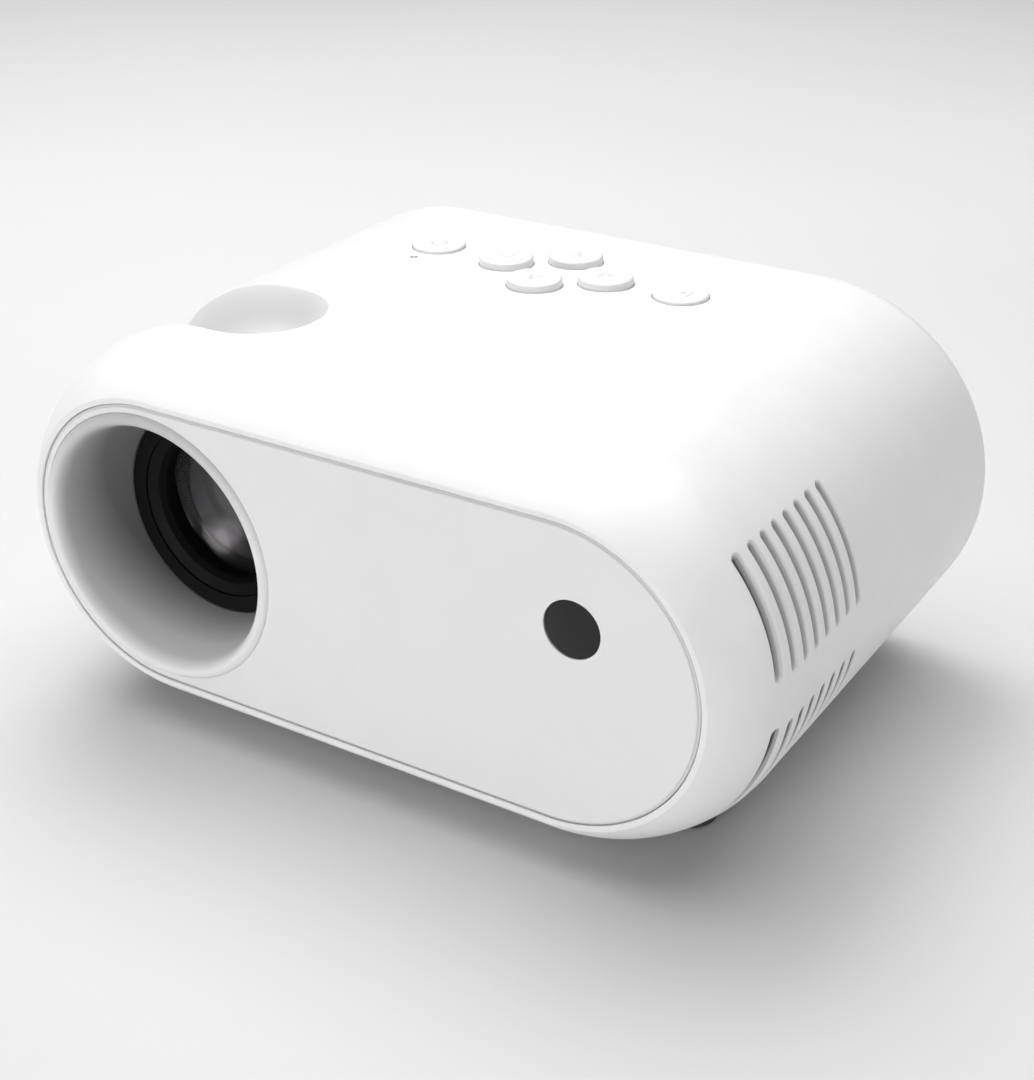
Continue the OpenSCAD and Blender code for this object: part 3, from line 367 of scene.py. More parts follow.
MATERIALS = {
    "casing": white_casing(),
    "rear_cover": moulded("rear_cover", (0.84, 0.84, 0.838), 0.52, 0.3, 0.016),
    "front_panel": moulded("front_panel", (0.83, 0.83, 0.83), 0.58, 0.28, 0.014),
    "hood": funnel(),
    "buttons": white_caps(),
    "ir_window": dark_screen("ir_window", (0.012, 0.012, 0.0122), 0.22, 0.28),
    "rubber": rubber("rubber", (0.045, 0.045, 0.048)),
    "silicone": rubber("silicone", (0.3, 0.3, 0.315)),
    "light_guide": dark_screen("light_guide", (0.42, 0.43, 0.44), 0.3),
    "brass": metal("brass", (0.72, 0.52, 0.22), 0.26),
    "zinc_screws": metal("zinc_screws", (0.62, 0.63, 0.65), 0.3),
    "sheet_steel": metal("sheet_steel", (0.6, 0.61, 0.63), 0.36, (1, 8, 1)),
    "lens_black": moulded(
        "lens_black", (0.005, 0.0055, 0.005), 0.6, 0.2, 0.01, 0.06, Specular_IOR_Level=0.12
    ),
    "engine_black": moulded("engine_black", (0.022, 0.022, 0.023), 0.55, 0.35, 0.02),
    "optical_glass": clear("optical_glass", (0.62, 0.6, 0.62), 0.12, 1.5),
    "mirror": metal("mirror", (0.88, 0.9, 0.91), 0.1),
    "lcd": dark_screen("lcd", (0.03, 0.034, 0.05), 0.14),
    "reflector": metal("reflector", (0.82, 0.82, 0.83), 0.12),
    "led_board": moulded("led_board", (0.8, 0.8, 0.76), 0.4, 0.4, 0.01),
    "heat_sink": metal("heat_sink", (0.66, 0.67, 0.69), 0.34, (1, 0.15, 1)),
    "foam": foam(),
    "speaker_frame": moulded("speaker_frame", (0.07, 0.07, 0.072), 0.45, 0.5, 0.02),
    "speaker_cone": moulded("speaker_cone", (0.03, 0.03, 0.03), 0.8, 0.5, 0.05),
    "circuit_board": circuit_board(),
    "flex": moulded("flex", (0.55, 0.27, 0.06), 0.3, 0.6, 0.01, Coat_Weight=0.3),
    "socket_metal": metal("socket_metal", (0.58, 0.59, 0.61), 0.3, (1, 0.2, 1)),
    "socket_black": moulded("socket_black", (0.018, 0.018, 0.018), 0.4, 0.4, 0.012),
}


# ---------- mesh making ----------

class Surface:
    """Points and faces gathered stretch by stretch; points that meet are joined at the end."""

    def __init__(self):
        self.points = []
        self.normals = []
        self.faces = []
        self.count = 0

    def add(self, points, normals=None):
        points = np.asarray(points, float)
        self.points.append(points)
        self.normals.append(np.full_like(points, np.nan) if normals is None else normals)
        self.count += len(points)
        return self.count - len(points)

    def triangles(self, points, triangles, normals=None):
        base = self.add(points, normals)
        self.faces += [tuple(base + i for i in t) for t in triangles]

    def strip(self, loops, closed=True):
        """Quads between one loop and the next, all with the same number of points."""
        size = len(loops[0])
        bases = [self.add(loop) for loop in loops]
        for a, b in zip(bases, bases[1:]):
            for i in range(size if closed else size - 1):
                j = (i + 1) % size
                self.faces.append((a + i, a + j, b + j, b + i))

    def joined(self):
        points = np.vstack(self.points)
        normals = np.vstack(self.normals)
        _, first, where = np.unique(
            np.round(points * 1e4).astype(np.int64), axis=0, return_index=True, return_inverse=True
        )
        where = where.reshape(-1)
        kept = normals[first]
        known = ~np.isnan(normals[:, 0])
        kept[where[known]] = normals[known]
        faces = []
        for face in self.faces:
            corners = [int(where[i]) for i in face]
            corners = [c for i, c in enumerate(corners) if c != corners[i - 1]]
            if len(set(corners)) > 2:
                faces.append(corners)
        return points[first], kept, faces


def in_metres(points):
    return (np.asarray(points, float) + [0, CASE_Y, CASE_Z]) * MM


def area_weighted(mesh, known):
    """Smooth normals in which a large face outweighs the small ones of a rounded edge beside it."""
    total = np.zeros(len(mesh.polygons), int)
    mesh.polygons.foreach_get("loop_total", total)
    corner = np.zeros(len(mesh.loops), int)
    mesh.loops.foreach_get("vertex_index", corner)
    area = np.zeros(len(mesh.polygons))
    mesh.polygons.foreach_get("area", area)
    flat = np.zeros(len(mesh.polygons) * 3)
    mesh.polygons.foreach_get("normal", flat)
    face = np.repeat(np.arange(len(total)), total)
    normals = np.zeros((len(mesh.vertices), 3))
    np.add.at(normals, corner, flat.reshape(-1, 3)[face] * area[face, None])
    lengths = np.linalg.norm(normals, axis=1, keepdims=True)
    normals /= np.maximum(lengths, 1e-30)
    given = ~np.isnan(known[:, 0])
    normals[given] = known[given]
    return normals


def piece(name, surface, slot, body, replaces, sharp=None):
    """Makes a piece that rides on a body. Edges past the angle sharp, in degrees, stay crisp."""
    points, known, faces = surface.joined()
    mesh = bpy.data.meshes.new(name)
    mesh.from_pydata(in_metres(points).tolist(), [], faces)
    work = bmesh.new()
    work.from_mesh(mesh)
    bmesh.ops.recalc_face_normals(work, faces=work.faces)
    work.to_mesh(mesh)
    work.free()
    mesh.polygons.foreach_set("use_smooth", [True] * len(mesh.polygons))
    if sharp is None:
        mesh.normals_split_custom_set_from_vertices(area_weighted(mesh, known))
    else:
        mesh.set_sharp_from_angle(angle=math.radians(sharp))
    mesh.materials.append(MATERIALS[slot])
    made = bpy.data.objects.new(name, mesh)
    bpy.context.scene.collection.objects.link(made)
    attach(made, body)
    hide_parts(replaces)
    return made


def arc(cx, cy, r, a0, a1, steps):
    """Points of an arc in a plane, between two angles in degrees."""
    angles = np.radians(np.linspace(a0, a1, steps + 1))
    return [(cx + r * math.cos(a), cy + r * math.sin(a)) for a in angles]


def rounded(corners, steps=5):
    """A closed outline through corners (x, y, radius). A corner with a radius becomes an arc."""
    done = []
    size = len(corners)
    for i, (x, y, *radius) in enumerate(corners):
        r = radius[0] if radius else 0
        here = Vector((x, y))
        if r == 0:
            done.append((x, y))
            continue
        before = (Vector(corners[i - 1][:2]) - here).normalized()
        after = (Vector(corners[(i + 1) % size][:2]) - here).normalized()
        half = before.angle(after) / 2
        reach = r / math.tan(half)
        centre = here + (before + after).normalized() * (r / math.sin(half))
        start = here + before * reach - centre
        stop = here + after * reach - centre
        sweep = start.angle_signed(stop)
        for k in range(steps + 1):
            turn = -sweep * k / steps
            done.append((
                centre.x + start.x * math.cos(turn) - start.y * math.sin(turn),
                centre.y + start.x * math.sin(turn) + start.y * math.cos(turn),
            ))
    return done


def circle_angles(segments):
    return np.linspace(0, 2 * math.pi, segments, endpoint=False)


def turned(profile, place, segments=128):
    """Loops of an outline (radius, height) turned full circle. place(x, y, height) sets each in space."""
    angles = circle_angles(segments)
    return [place(r * np.cos(angles), r * np.sin(angles), np.full(segments, h)) for r, h in profile]


def along_y(x, z):
    """Places flat x and y about an axis along the casing's y."""
    return lambda a, b, h: np.stack([x + a, h, z + b], axis=1)


def along_z(x, y):
    return lambda a, b, h: np.stack([x + a, y + b, h], axis=1)


def turned_solid(surface, profile, place, segments=128):
    """A closed solid from a turned outline. Poles close one that starts and ends on the axis."""
    loops = turned(profile, place, segments)
    surface.strip(loops + [loops[0]] if profile[0][0] > 0 else loops)


def smooth_step(x):
    x = np.clip(x, 0, 1)
    return x * x * (3 - 2 * x)


def smooth_max(a, floor, width):
    """The larger of a and floor, blended where they are within width of each other."""
    gap = a - floor
    blend = floor + (gap + width) ** 2 / (4 * width)
    return np.where(gap > width, a, np.where(gap < -width, floor, blend))


# ---------- holes and skins ----------

class Hole:
    """A hole in a skin. outline(offset) gives its points, levels are (offset, depth) from the front."""

    def __init__(self, outline, levels):
        self.outline = outline
        self.levels = levels


def round_edge(radius, depth=0.0, steps=4):
    """Levels of a rounded edge that turns from the face down into the hole."""
    return [
        (radius * (1 - math.sin(a)), depth + radius * (1 - math.cos(a)))
        for a in np.linspace(0, math.pi / 2, steps + 1)
    ]


def circle_outline(x, y, r, segments=64):
    angles = circle_angles(segments)
    across = np.stack([np.cos(angles), np.sin(angles)], axis=1)
    return lambda offset: np.array([x, y]) + (r + offset) * across


def slot_outline(ax, ay, bx, by, half_w, end_steps=14, side_step=1.0):
    """A slot with round ends from (ax, ay) to (bx, by)."""
    turn = math.atan2(by - ay, bx - ax)
    sides = math.ceil(math.hypot(bx - ax, by - ay) / side_step)
    there = np.stack([np.linspace(ax, bx, sides + 1), np.linspace(ay, by, sides + 1)], axis=1)
    first = np.linspace(turn + math.pi / 2, turn + 3 * math.pi / 2, end_steps + 1)
    angles = np.concatenate([
        first, np.full(sides - 1, first[-1]), first + math.pi, np.full(sides - 1, first[-1] + math.pi),
    ])
    middles = np.concatenate([
        np.repeat(there[:1], end_steps + 1, axis=0), there[1:-1],
        np.repeat(there[-1:], end_steps + 1, axis=0), there[-2:0:-1],
    ])

    def outline(offset):
        return middles + (half_w + offset) * np.stack([np.cos(angles), np.sin(angles)], axis=1)

    return outline


def box_outline(x, y, half_x, half_y, corner, steps=6):
    def outline(offset):
        points = []
        for k, (sx, sy) in enumerate([(1, 1), (-1, 1), (-1, -1), (1, -1)]):
            centre = (x + sx * (half_x - corner), y + sy * (half_y - corner))
            points += arc(*centre, corner + offset, 90 * k, 90 * k + 90, steps)
        return np.array(points)

    return outline


def inside(points, loop):
    """Which points lie inside a closed loop."""
    low, high = loop.min(0), loop.max(0)
    near = np.nonzero(((points >= low) & (points <= high)).all(1))[0]
    result = np.zeros(len(points), bool)
    if len(near) == 0:
        return result
    x, y = points[near, 0], points[near, 1]
    crossed = np.zeros(len(near), bool)
    for (ax, ay), (bx, by) in zip(loop, np.roll(loop, -1, axis=0)):
        if ay != by:
            between = (ay > y) != (by > y)
            crossed ^= between & (x < (bx - ax) * (y - ay) / (by - ay) + ax)
    result[near] = crossed
    return result


def triangulated(boundary, holes, free):
    """Triangles over a convex boundary loop without its holes, using the free points outside them."""
    kept = np.array(free, float).reshape(-1, 2)
    for loop in holes:
        kept = kept[~inside(kept, loop)]
    points, edges = [], []
    for loop in [boundary, *holes]:
        base = len(points)
        points += list(loop)
        edges += [(base + i, base + (i + 1) % len(loop)) for i in range(len(loop))]
    points += list(kept)
    _, _, triangles, sources, _, _ = delaunay_2d_cdt([Vector(p) for p in points], edges, [], 0, 1e-5)
    found = np.array(points)[[source[0] for source in sources]]
    triangles = np.array(triangles)
    middles = found[triangles].mean(1)
    for loop in holes:
        outside = ~inside(middles, loop)
        triangles, middles = triangles[outside], middles[outside]
    return found, triangles


def drilled(surface, front, back, holes, free, place, normal=None):
    """A wall with holes between two boundary loops. place(a, b, depth) puts its points in space."""
    margin = 0.35
    last = holes[0].levels[-1][1]
    for boundary, level, depth in ((front, 0, 0.0), (back, -1, last)):
        loops = [h.outline(h.levels[level][0]) for h in holes]
        apart = free
        for hole in holes:
            apart = apart[~inside(apart, hole.outline(hole.levels[level][0] + margin))]
        flat, triangles = triangulated(boundary, loops, apart)
        points = place(flat[:, 0], flat[:, 1], np.full(len(flat), depth))
        surface.triangles(points, triangles, normal(flat) if normal and level == 0 else None)
    for hole in holes:
        loops = []
        for offset, depth in hole.levels:
            flat = hole.outline(offset)
            loops.append(place(flat[:, 0], flat[:, 1], np.full(len(flat), depth)))
        surface.strip(loops)


# ---------- casing ----------

# Distances s round the pill run from a seam under the casing, by the right end, the top and the left end.
SEAM_X = -25.0
TO_RIGHT = HALF_SPAN - SEAM_X
HALF_TURN = math.pi * END_R
TOP_START = TO_RIGHT + HALF_TURN
LEFT_START = TOP_START + 2 * HALF_SPAN
LEFT_END = LEFT_START + HALF_TURN
ROUND_TRIP = LEFT_END + SEAM_X + HALF_SPAN


def pill_path(s):
    """Centre x and direction angle of the pill's outline at the distance s round it."""
    s = np.asarray(s, float)
    x = np.select(
        [s < TO_RIGHT, s < TOP_START, s < LEFT_START, s < LEFT_END],
        [SEAM_X + s, HALF_SPAN, HALF_SPAN - (s - TOP_START), -HALF_SPAN],
        s - LEFT_END - HALF_SPAN,
    )
    right_end = (s - TO_RIGHT) / END_R - math.pi / 2
    left_end = (s - LEFT_START) / END_R + math.pi / 2
    angle = np.select(
        [s < TO_RIGHT, s < TOP_START, s < LEFT_START, s < LEFT_END],
        [-math.pi / 2, right_end, math.pi / 2, left_end],
        -math.pi / 2,
    )
    return x, angle


def s_on_top(x):
    return TOP_START + HALF_SPAN - x


def s_below(x):
    return x - SEAM_X if x > SEAM_X else ROUND_TRIP - (SEAM_X - x)


def s_right(angle):
    return TO_RIGHT + END_R * (math.radians(angle) + math.pi / 2)


def s_left(angle):
    return LEFT_START + END_R * (math.radians(angle) - math.pi / 2)


def outer_wall(y):
    """Radius of the casing's outside at y, and its normal there as (radial, along y)."""
    y = np.asarray(y, float)
    ahead = np.minimum(y - FRONT_ROUND_D, 0)
    across = np.sqrt(FRONT_ROUND ** 2 - ahead ** 2)
    return END_R - FRONT_ROUND + across, across / FRONT_ROUND, ahead / FRONT_ROUND


def scoop_depth(s, y, ball):
    """Depth under the casing's outside of a ball swept round the lens axis, or -END_R off it."""
    x, angle = pill_path(s)
    nx, nz = np.cos(angle), np.sin(angle)
    px, pz = x + END_R * nx, END_R * nz
    around = np.degrees(np.arctan2(pz, px - LENS_X)) % 360
    around = np.where(around > 315, around - 360, around)
    around = np.radians(np.clip(around, SCOOP_START, SCOOP_END))
    qx = px - LENS_X - SCOOP_C * np.cos(around)
    qz = pz - SCOOP_C * np.sin(around)
    qy = y - SCOOP_Y
    along = qx * nx + qz * nz
    square = along ** 2 - (qx ** 2 + qy ** 2 + qz ** 2) + ball ** 2
    return np.where((square > 0) & (along < ball), along + np.sqrt(np.maximum(square, 0)), -END_R)


def casing_point(s, y, level):
    """A point of the casing's wall: level 0 is its outside and level WALL its inside."""
    x, angle = pill_path(s)
    radius, radial, axial = outer_wall(y)
    outside = smooth_max(scoop_depth(s, y, SCOOP_R), 0.0, SCOOP_LIP)
    inner = smooth_max(scoop_depth(s, y, SCOOP_R + LINER_T), WALL, SCOOP_LIP)
    depth = outside + (inner - outside) * level / WALL
    r = radius - depth * radial
    return np.stack([x + r * np.cos(angle), y - depth * axial, r * np.sin(angle)], axis=1)


def casing_normal(flat):
    """Outward normals of the outside, from small steps along it."""
    step = 0.02
    s, y = flat[:, 0], flat[:, 1]
    nought = np.zeros(len(s))
    along_s = casing_point(s + step, y, nought) - casing_point(s - step, y, nought)
    along_back = casing_point(s, y + step, nought) - casing_point(s, y - step, nought)
    normals = np.cross(along_back, along_s)
    normals /= np.linalg.norm(normals, axis=1, keepdims=True)
    _, angle = pill_path(s)
    out = np.stack([np.cos(angle), np.zeros(len(s)), np.sin(angle)], axis=1)
    return normals * np.sign((normals * out).sum(1))[:, None]


def spread(stops, steps):
    """Numbers from stop to stop, each stretch cut into pieces no longer than its step."""
    values = [stops[0]]
    for a, b, step in zip(stops, stops[1:], steps):
        count = max(1, math.ceil((b - a) / step))
        values += list(np.linspace(a, b, count + 1)[1:])
    return np.array(values)


def button_levels(dished):
    if not dished:
        return round_edge(0.25) + [(0, WALL)]
    dish_w, dish_d = 1.3, 0.5
    across = np.linspace(0, 1, 7)
    dish = [(dish_w - (dish_w - 0.2) * a, dish_d * float(smooth_step(a))) for a in across]
    return dish[:-1] + round_edge(0.2, dish_d) + [(0, WALL)]


def focus_outline(offset):
    """Where the focus ring shows at the bottom of the finger recess."""
    half_y, half_s, steps = 3.8 + offset, 4.2 + offset, 24
    s0, s1 = s_left(SCOOP_START), s_left(SCOOP_END)
    turn = np.linspace(-math.pi / 2, math.pi / 2, 17)
    first = [(s1 + half_s * math.cos(a), SCOOP_Y + half_y * math.sin(a)) for a in turn]
    second = [(s0 - half_s * math.cos(a), SCOOP_Y - half_y * math.sin(a)) for a in turn]
    top = [(s1 + (s0 - s1) * k / steps, SCOOP_Y + half_y) for k in range(1, steps)]
    bottom = [(s0 + (s1 - s0) * k / steps, SCOOP_Y - half_y) for k in range(1, steps)]
    return np.array(first + top + second + bottom)


def casing_holes():
    holes = [Hole(focus_outline, round_edge(0.2) + [(0, WALL)])]
    end = math.degrees(math.asin(VENT_HALF_W / END_R))
    for i in range(VENTS):
        y = VENT_Y + i * VENT_PITCH
        for a0, a1 in VENT_BANKS:
            outline = slot_outline(s_right(a0 + end), y, s_right(a1 - end), y, VENT_HALF_W)
            waist = -0.6 if a0 > 0 else 0.0
            holes.append(Hole(outline, round_edge(0.35) + [(waist, 1.5), (waist, WALL)]))
    for name, (x, y) in SPOTS.items():
        outline = circle_outline(s_on_top(x), y, BUTTON_R + BUTTON_GAP, 96)
        holes.append(Hole(outline, button_levels(name not in OUTER_BUTTONS)))
    light = circle_outline(s_on_top(LED_AT[0]), LED_AT[1], 0.8, 32)
    holes.append(Hole(light, round_edge(0.15) + [(0, WALL)]))
    for x, y in CHASSIS_SCREWS:
        levels = round_edge(0.25) + [(0, 1.5), (-1.45, 1.5), (-1.45, WALL)]
        holes.append(Hole(circle_outline(s_below(x), y, 2.8, 48), levels))
    tripod = circle_outline(s_below(0), TRIPOD_Y, INSERT_R + 0.05)
    holes.append(Hole(tripod, round_edge(0.3) + [(0, WALL)]))
    return holes


def recess_rows(offsets):
    """Loops of points beside the finger recess's edge, each at its own offset outwards."""
    end_points, side_points, halvings = 65, 55, 24
    s0, s1 = s_left(SCOOP_START), s_left(SCOOP_END)
    half = np.linspace(-math.pi / 2, math.pi / 2, end_points)
    side = np.full(side_points, math.pi / 2)
    along = np.linspace(s1, s0, side_points + 2)[1:-1]
    s = np.concatenate([np.full(end_points, s1), along, np.full(end_points, s0), along[::-1]])
    turn = np.concatenate([half, side, half + math.pi, -side])
    near, far = np.full(len(turn), 4.0), np.full(len(turn), 24.0)
    for _ in range(halvings):
        middle = (near + far) / 2
        sunk = scoop_depth(s + middle * np.cos(turn), SCOOP_Y + middle * np.sin(turn), SCOOP_R) > 0
        near, far = np.where(sunk, middle, near), np.where(sunk, far, middle)
    return [
        np.stack([s + (near + off) * np.cos(turn), SCOOP_Y + (near + off) * np.sin(turn)], axis=1)
        for off in offsets
    ]


def pill_loop(s, radius, y):
    x, angle = pill_path(s)
    level = np.full(len(s), float(y))
    return np.stack([x + radius * np.cos(angle), level, radius * np.sin(angle)], axis=1)


def make_casing():
    skin = Surface()
    first_y, last_y = 7.0, 109.0
    stops = [0, TO_RIGHT, TOP_START, LEFT_START, LEFT_END, ROUND_TRIP]
    s_values = spread(stops, [4, 1.6, 4, 1.6, 4])
    y_values = spread([first_y, FRONT_ROUND_D, 60, last_y], [1.2, 2.4, 3.2])
    grid = np.array([(s, y) for s in s_values[1:-1] for y in y_values[1:-1]])
    reach_s, reach_y, fine_step = 22, SCOOP_HALF_W + 2.4, 0.8
    dense_lo = (LEFT_START - reach_s, SCOOP_Y - reach_y)
    dense_hi = (s_left(SCOOP_END) + reach_s, SCOOP_Y + reach_y)
    sparse = ~((grid > dense_lo) & (grid < dense_hi)).all(1)
    fine_s = spread([dense_lo[0], dense_hi[0]], [fine_step])
    fine_y = spread([dense_lo[1], dense_hi[1]], [fine_step])
    fine = np.array([(s, y) for s in fine_s for y in fine_y])
    rows = recess_rows([-2.9, -2.3, -1.7, -1.2, -0.8, -0.5, -0.25, 0, 0.25, 0.5, 0.8, 1.1, 1.4, 1.8, 2.3])
    beside = inside(fine, rows[-1]) & ~inside(fine, rows[0])
    fine = np.vstack([fine[~beside], *rows[1:-1]])
    boundary = np.array(
        [(s, first_y) for s in s_values[:-1]] + [(ROUND_TRIP, y) for y in y_values[:-1]]
        + [(s, last_y) for s in s_values[:0:-1]] + [(0, y) for y in y_values[:0:-1]]
    )
    free = np.vstack([grid[sparse], fine])
    drilled(skin, boundary, boundary, casing_holes(), free, casing_point, casing_normal)

    r0, radial, axial = (float(v) for v in outer_wall(first_y))
    centre = END_R - FRONT_ROUND
    start = math.degrees(math.atan2(first_y - FRONT_ROUND_D, r0 - centre))
    stop = -math.degrees(math.asin(FRONT_ROUND_D / FRONT_ROUND))
    shoulder = arc(centre, FRONT_ROUND_D, FRONT_ROUND, start, stop, 12)
    rim = rounded([
        shoulder[-2], (*shoulder[-1], 0.35), (FRONT_OPEN_R, 0, 0.3), (FRONT_OPEN_R, LEDGE_Y),
        (LEDGE_R, LEDGE_Y, 0.1), (r0 - WALL * radial, first_y - WALL * axial),
    ])
    around = s_values[:-1]
    skin.strip([pill_loop(around, r, y) for r, y in shoulder[:-2] + rim])

    back_turn = 69.8
    back = arc(END_R - BACK_ROUND, BODY_D - BACK_ROUND_D, BACK_ROUND, 0, back_turn, 14)
    lip_y = COVER_Y - BACK_LIP_T
    rear = rounded([
        back[-1], (BACK_OPEN_R + 0.9, BODY_D, 0.2), (BACK_OPEN_R, BODY_D, 0.3), (BACK_OPEN_R, COVER_Y),
        (BACK_LIP_R, COVER_Y), (BACK_LIP_R, lip_y), (IN_R, lip_y), (IN_R, last_y),
    ])
    skin.strip([pill_loop(around, r, y) for r, y in [(END_R, last_y)] + back[:-1] + rear])
    piece("casing_shell", skin, "casing", "case", "outer_shell")


# ---------- front ----------

def pill_outline(radius, step=2.5):
    """Outline of a flat plate with round ends, in x and z."""
    ends = math.ceil(math.pi * radius / step)
    sides = math.ceil(2 * HALF_SPAN / step)

    def outline(offset):
        r = radius + offset
        right = arc(HALF_SPAN, 0, r, -90, 90, ends)
        left = arc(-HALF_SPAN, 0, r, 90, 270, ends)
        top = [(HALF_SPAN - 2 * HALF_SPAN * k / sides, r) for k in range(1, sides)]
        bottom = [(-HALF_SPAN + 2 * HALF_SPAN * k / sides, -r) for k in range(1, sides)]
        return np.array(right + top + left + bottom)

    return outline


def plate(surface, radius, edge, thickness, holes, place, flange=(0, 0)):
    """A drilled plate with round ends. flange is the (width, depth) of a wider back."""
    outline = pill_outline(radius)
    step, margin = 5, 1.2
    reach = HALF_SPAN + radius
    across = np.arange(-reach, reach, step)
    up = np.arange(-radius, radius, step)
    grid = np.array([(x, z) for x in across for z in up])
    front = outline(-edge)
    free = grid[inside(grid, outline(-edge - margin))]
    wide, deep = flange
    drilled(surface, front, outline(wide), holes, free, place)
    step_back = [(0, deep), (-wide, deep)] if wide else []
    loops = []
    for offset, depth in round_edge(edge) + step_back + [(-wide, thickness)]:
        flat = outline(-offset)
        loops.append(place(flat[:, 0], flat[:, 1], np.full(len(flat), depth)))
    surface.strip(loops)


def from_front(a, b, depth):
    return np.stack([a, depth, b], axis=1)


def from_back(a, b, depth):
    return np.stack([a, BODY_D - depth, b], axis=1)


def make_front_panel():
    surface = Surface()
    holes = [
        Hole(
            circle_outline(LENS_X, 0, HOOD_R - 0.08, 192),
            round_edge(0.05) + [(0.1, 0.4), (0.1, PANEL_T)],
        ),
        Hole(circle_outline(IR_X, IR_Z, IR_R + 0.1), round_edge(0.15) + [(0, PANEL_T)]),
    ]
    edge, flange = 0.4, (0.5, 0.45)
    plate(surface, PANEL_R + 0.3, edge, PANEL_T, holes, from_front, flange)
    piece("front_plate", surface, "front_panel", "case", "front_panel")


def make_hood():
    bead = (HOOD_R - HOOD_OPEN_R) / 2
    middle = HOOD_R - bead
    bead_y = bead - HOOD_PROUD
    neck = HOOD_R - 0.4
    throat = BARREL_R + 0.45
    lip_w, lip_d, lip_turn = 2.0, 4.5, 1.21
    lip = [
        (middle - lip_w * math.sin(a), lip_d * (1 - math.cos(a)) - HOOD_PROUD)
        for a in np.linspace(lip_turn, 0, 25)
    ]
    round_top = lip + arc(middle, bead_y, bead, 270, 360, 12)[1:]
    outside = rounded([
        round_top[0], (neck, bead_y + 0.2), (neck, 5.2, 0.6), (throat + 2.2, BARREL_Y, 0.5),
        (throat + 2.2, BARREL_Y + 4), (throat, BARREL_Y + 4), (throat, BARREL_Y, 0.6),
    ])
    surface = Surface()
    turned_solid(surface, round_top + outside[1:], along_y(LENS_X, 0), 192)
    piece("lens_funnel", surface, "hood", "case", "lens_hood")


def make_ir_window():
    dome_y, dome_r, dome_edge = 34, 34.12, 5.2
    dome_turn = math.degrees(dome_edge / dome_r)
    flange_r, flange_y, back_y = IR_R + 1.2, PANEL_T + 0.1, PANEL_T + 1
    dome = [(0, dome_y - dome_r)] + arc(0, dome_y, dome_r, -90, dome_turn - 90, 8)[1:]
    rest = rounded([
        (dome_edge, 0.28), (IR_R, 0.32, 0.2), (IR_R, flange_y), (flange_r, flange_y, 0.1),
        (flange_r, back_y, 0.1), (0, back_y),
    ])
    surface = Surface()
    turned_solid(surface, dome + rest[1:], along_y(IR_X, IR_Z), 96)
    piece("receiver_window", surface, "ir_window", "case", "ir_window")


def polar(surface, x, y, radii, height, segments=192):
    """Adds a disc about (x, y), ring by ring in the order of radii. height(a, b) gives its level."""
    angles = circle_angles(segments)
    loops = []
    for r in radii:
        a, b = r * np.cos(angles), r * np.sin(angles)
        loops.append(np.stack([x + a, y + b, height(a, b)], axis=1))
    surface.strip(loops)


# ---------- buttons ----------

def stroke(path, x, y):
    """Distance from each point to a line through the points of path."""
    best = np.full(np.shape(x), 1e9)
    for (ax, ay), (bx, by) in zip(path, path[1:]):
        dx, dy = bx - ax, by - ay
        t = np.clip(((x - ax) * dx + (y - ay) * dy) / (dx * dx + dy * dy), 0, 1)
        best = np.minimum(best, np.hypot(x - ax - t * dx, y - ay - t * dy))
    return best


def triangle(angle):
    return [[(1.7 * math.cos(angle + a), 1.7 * math.sin(angle + a)) for a in (0, 2.2, -2.2, 0)]]


SIGNS = {
    "power": [arc(0, 0, 1.7, 125, 415, 20), [(0, 0.5), (0, 2.1)]],
    "left": triangle(math.pi),
    "up": triangle(math.pi / 2),
    "down": triangle(-math.pi / 2),
    "right": triangle(0),
    "source": [
        [(0.2, 1.6), (1.9, 1.6), (1.9, -1.6), (0.2, -1.6)],
        [(-2.0, 0), (0.9, 0)],
        [(0, 0.8), (0.9, 0), (0, -0.8)],
    ],
}


def make_button(name, x, y):
    flange_low = IN_R - 0.8
    flange_top = flange_low + 0.7
    flange_r, face_r, hollow = 7.0, 5.2, 0.12
    top = END_R + (0.7 if name in OUTER_BUTTONS else 1.2)

    def to_sign(a, b):
        return np.minimum.reduce([stroke(path, a, b) for path in SIGNS[name]])

    def height(a, b):
        out = np.hypot(a, b)
        cup = hollow * (1 - (out / face_r) ** 2)
        face = top - cup + 0.09 * smooth_step((0.34 - to_sign(a, b)) / 0.2)
        return np.where(out > face_r - 0.01, top, face)

    surface = Surface()
    side = rounded([
        (0, flange_low), (flange_r, flange_low, 0.15), (flange_r, flange_top, 0.15), (BUTTON_R, flange_top),
        (BUTTON_R, top, 0.5), (face_r, top),
    ], 6)
    turned_solid(surface, side, along_z(x, y), 192)
    polar(surface, x, y, np.linspace(face_r, 0, 48), height)
    cap = piece("cap_" + name, surface, "buttons", name + "_key", "button_" + name)
    places = np.zeros(len(cap.data.vertices) * 3)
    cap.data.vertices.foreach_get("co", places)
    a, b, z = (places.reshape(-1, 3) / MM - [x, y + CASE_Y, CASE_Z]).T
    shade = np.where(z > top - 0.3, smooth_step((0.4 - to_sign(a, b)) / 0.15), 0.0)
    cap.data.attributes.new("sign", "FLOAT", "POINT").data.foreach_set("value", shade)


def make_light_pipe():
    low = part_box("light_pipe")[0].z / MM - CASE_Z
    top = END_R + 0.05
    dome = arc(0, top - 0.72, 0.72, 13.5, 90, 8)
    profile = [(0, low), (1.5, low), (1.5, low + 1.6), (0.7, low + 1.6)] + dome
    surface = Surface()
    turned_solid(surface, profile, along_z(*LED_AT), 48)
    piece("indicator", surface, "light_guide", "case", "light_pipe")


# ---------- feet ----------

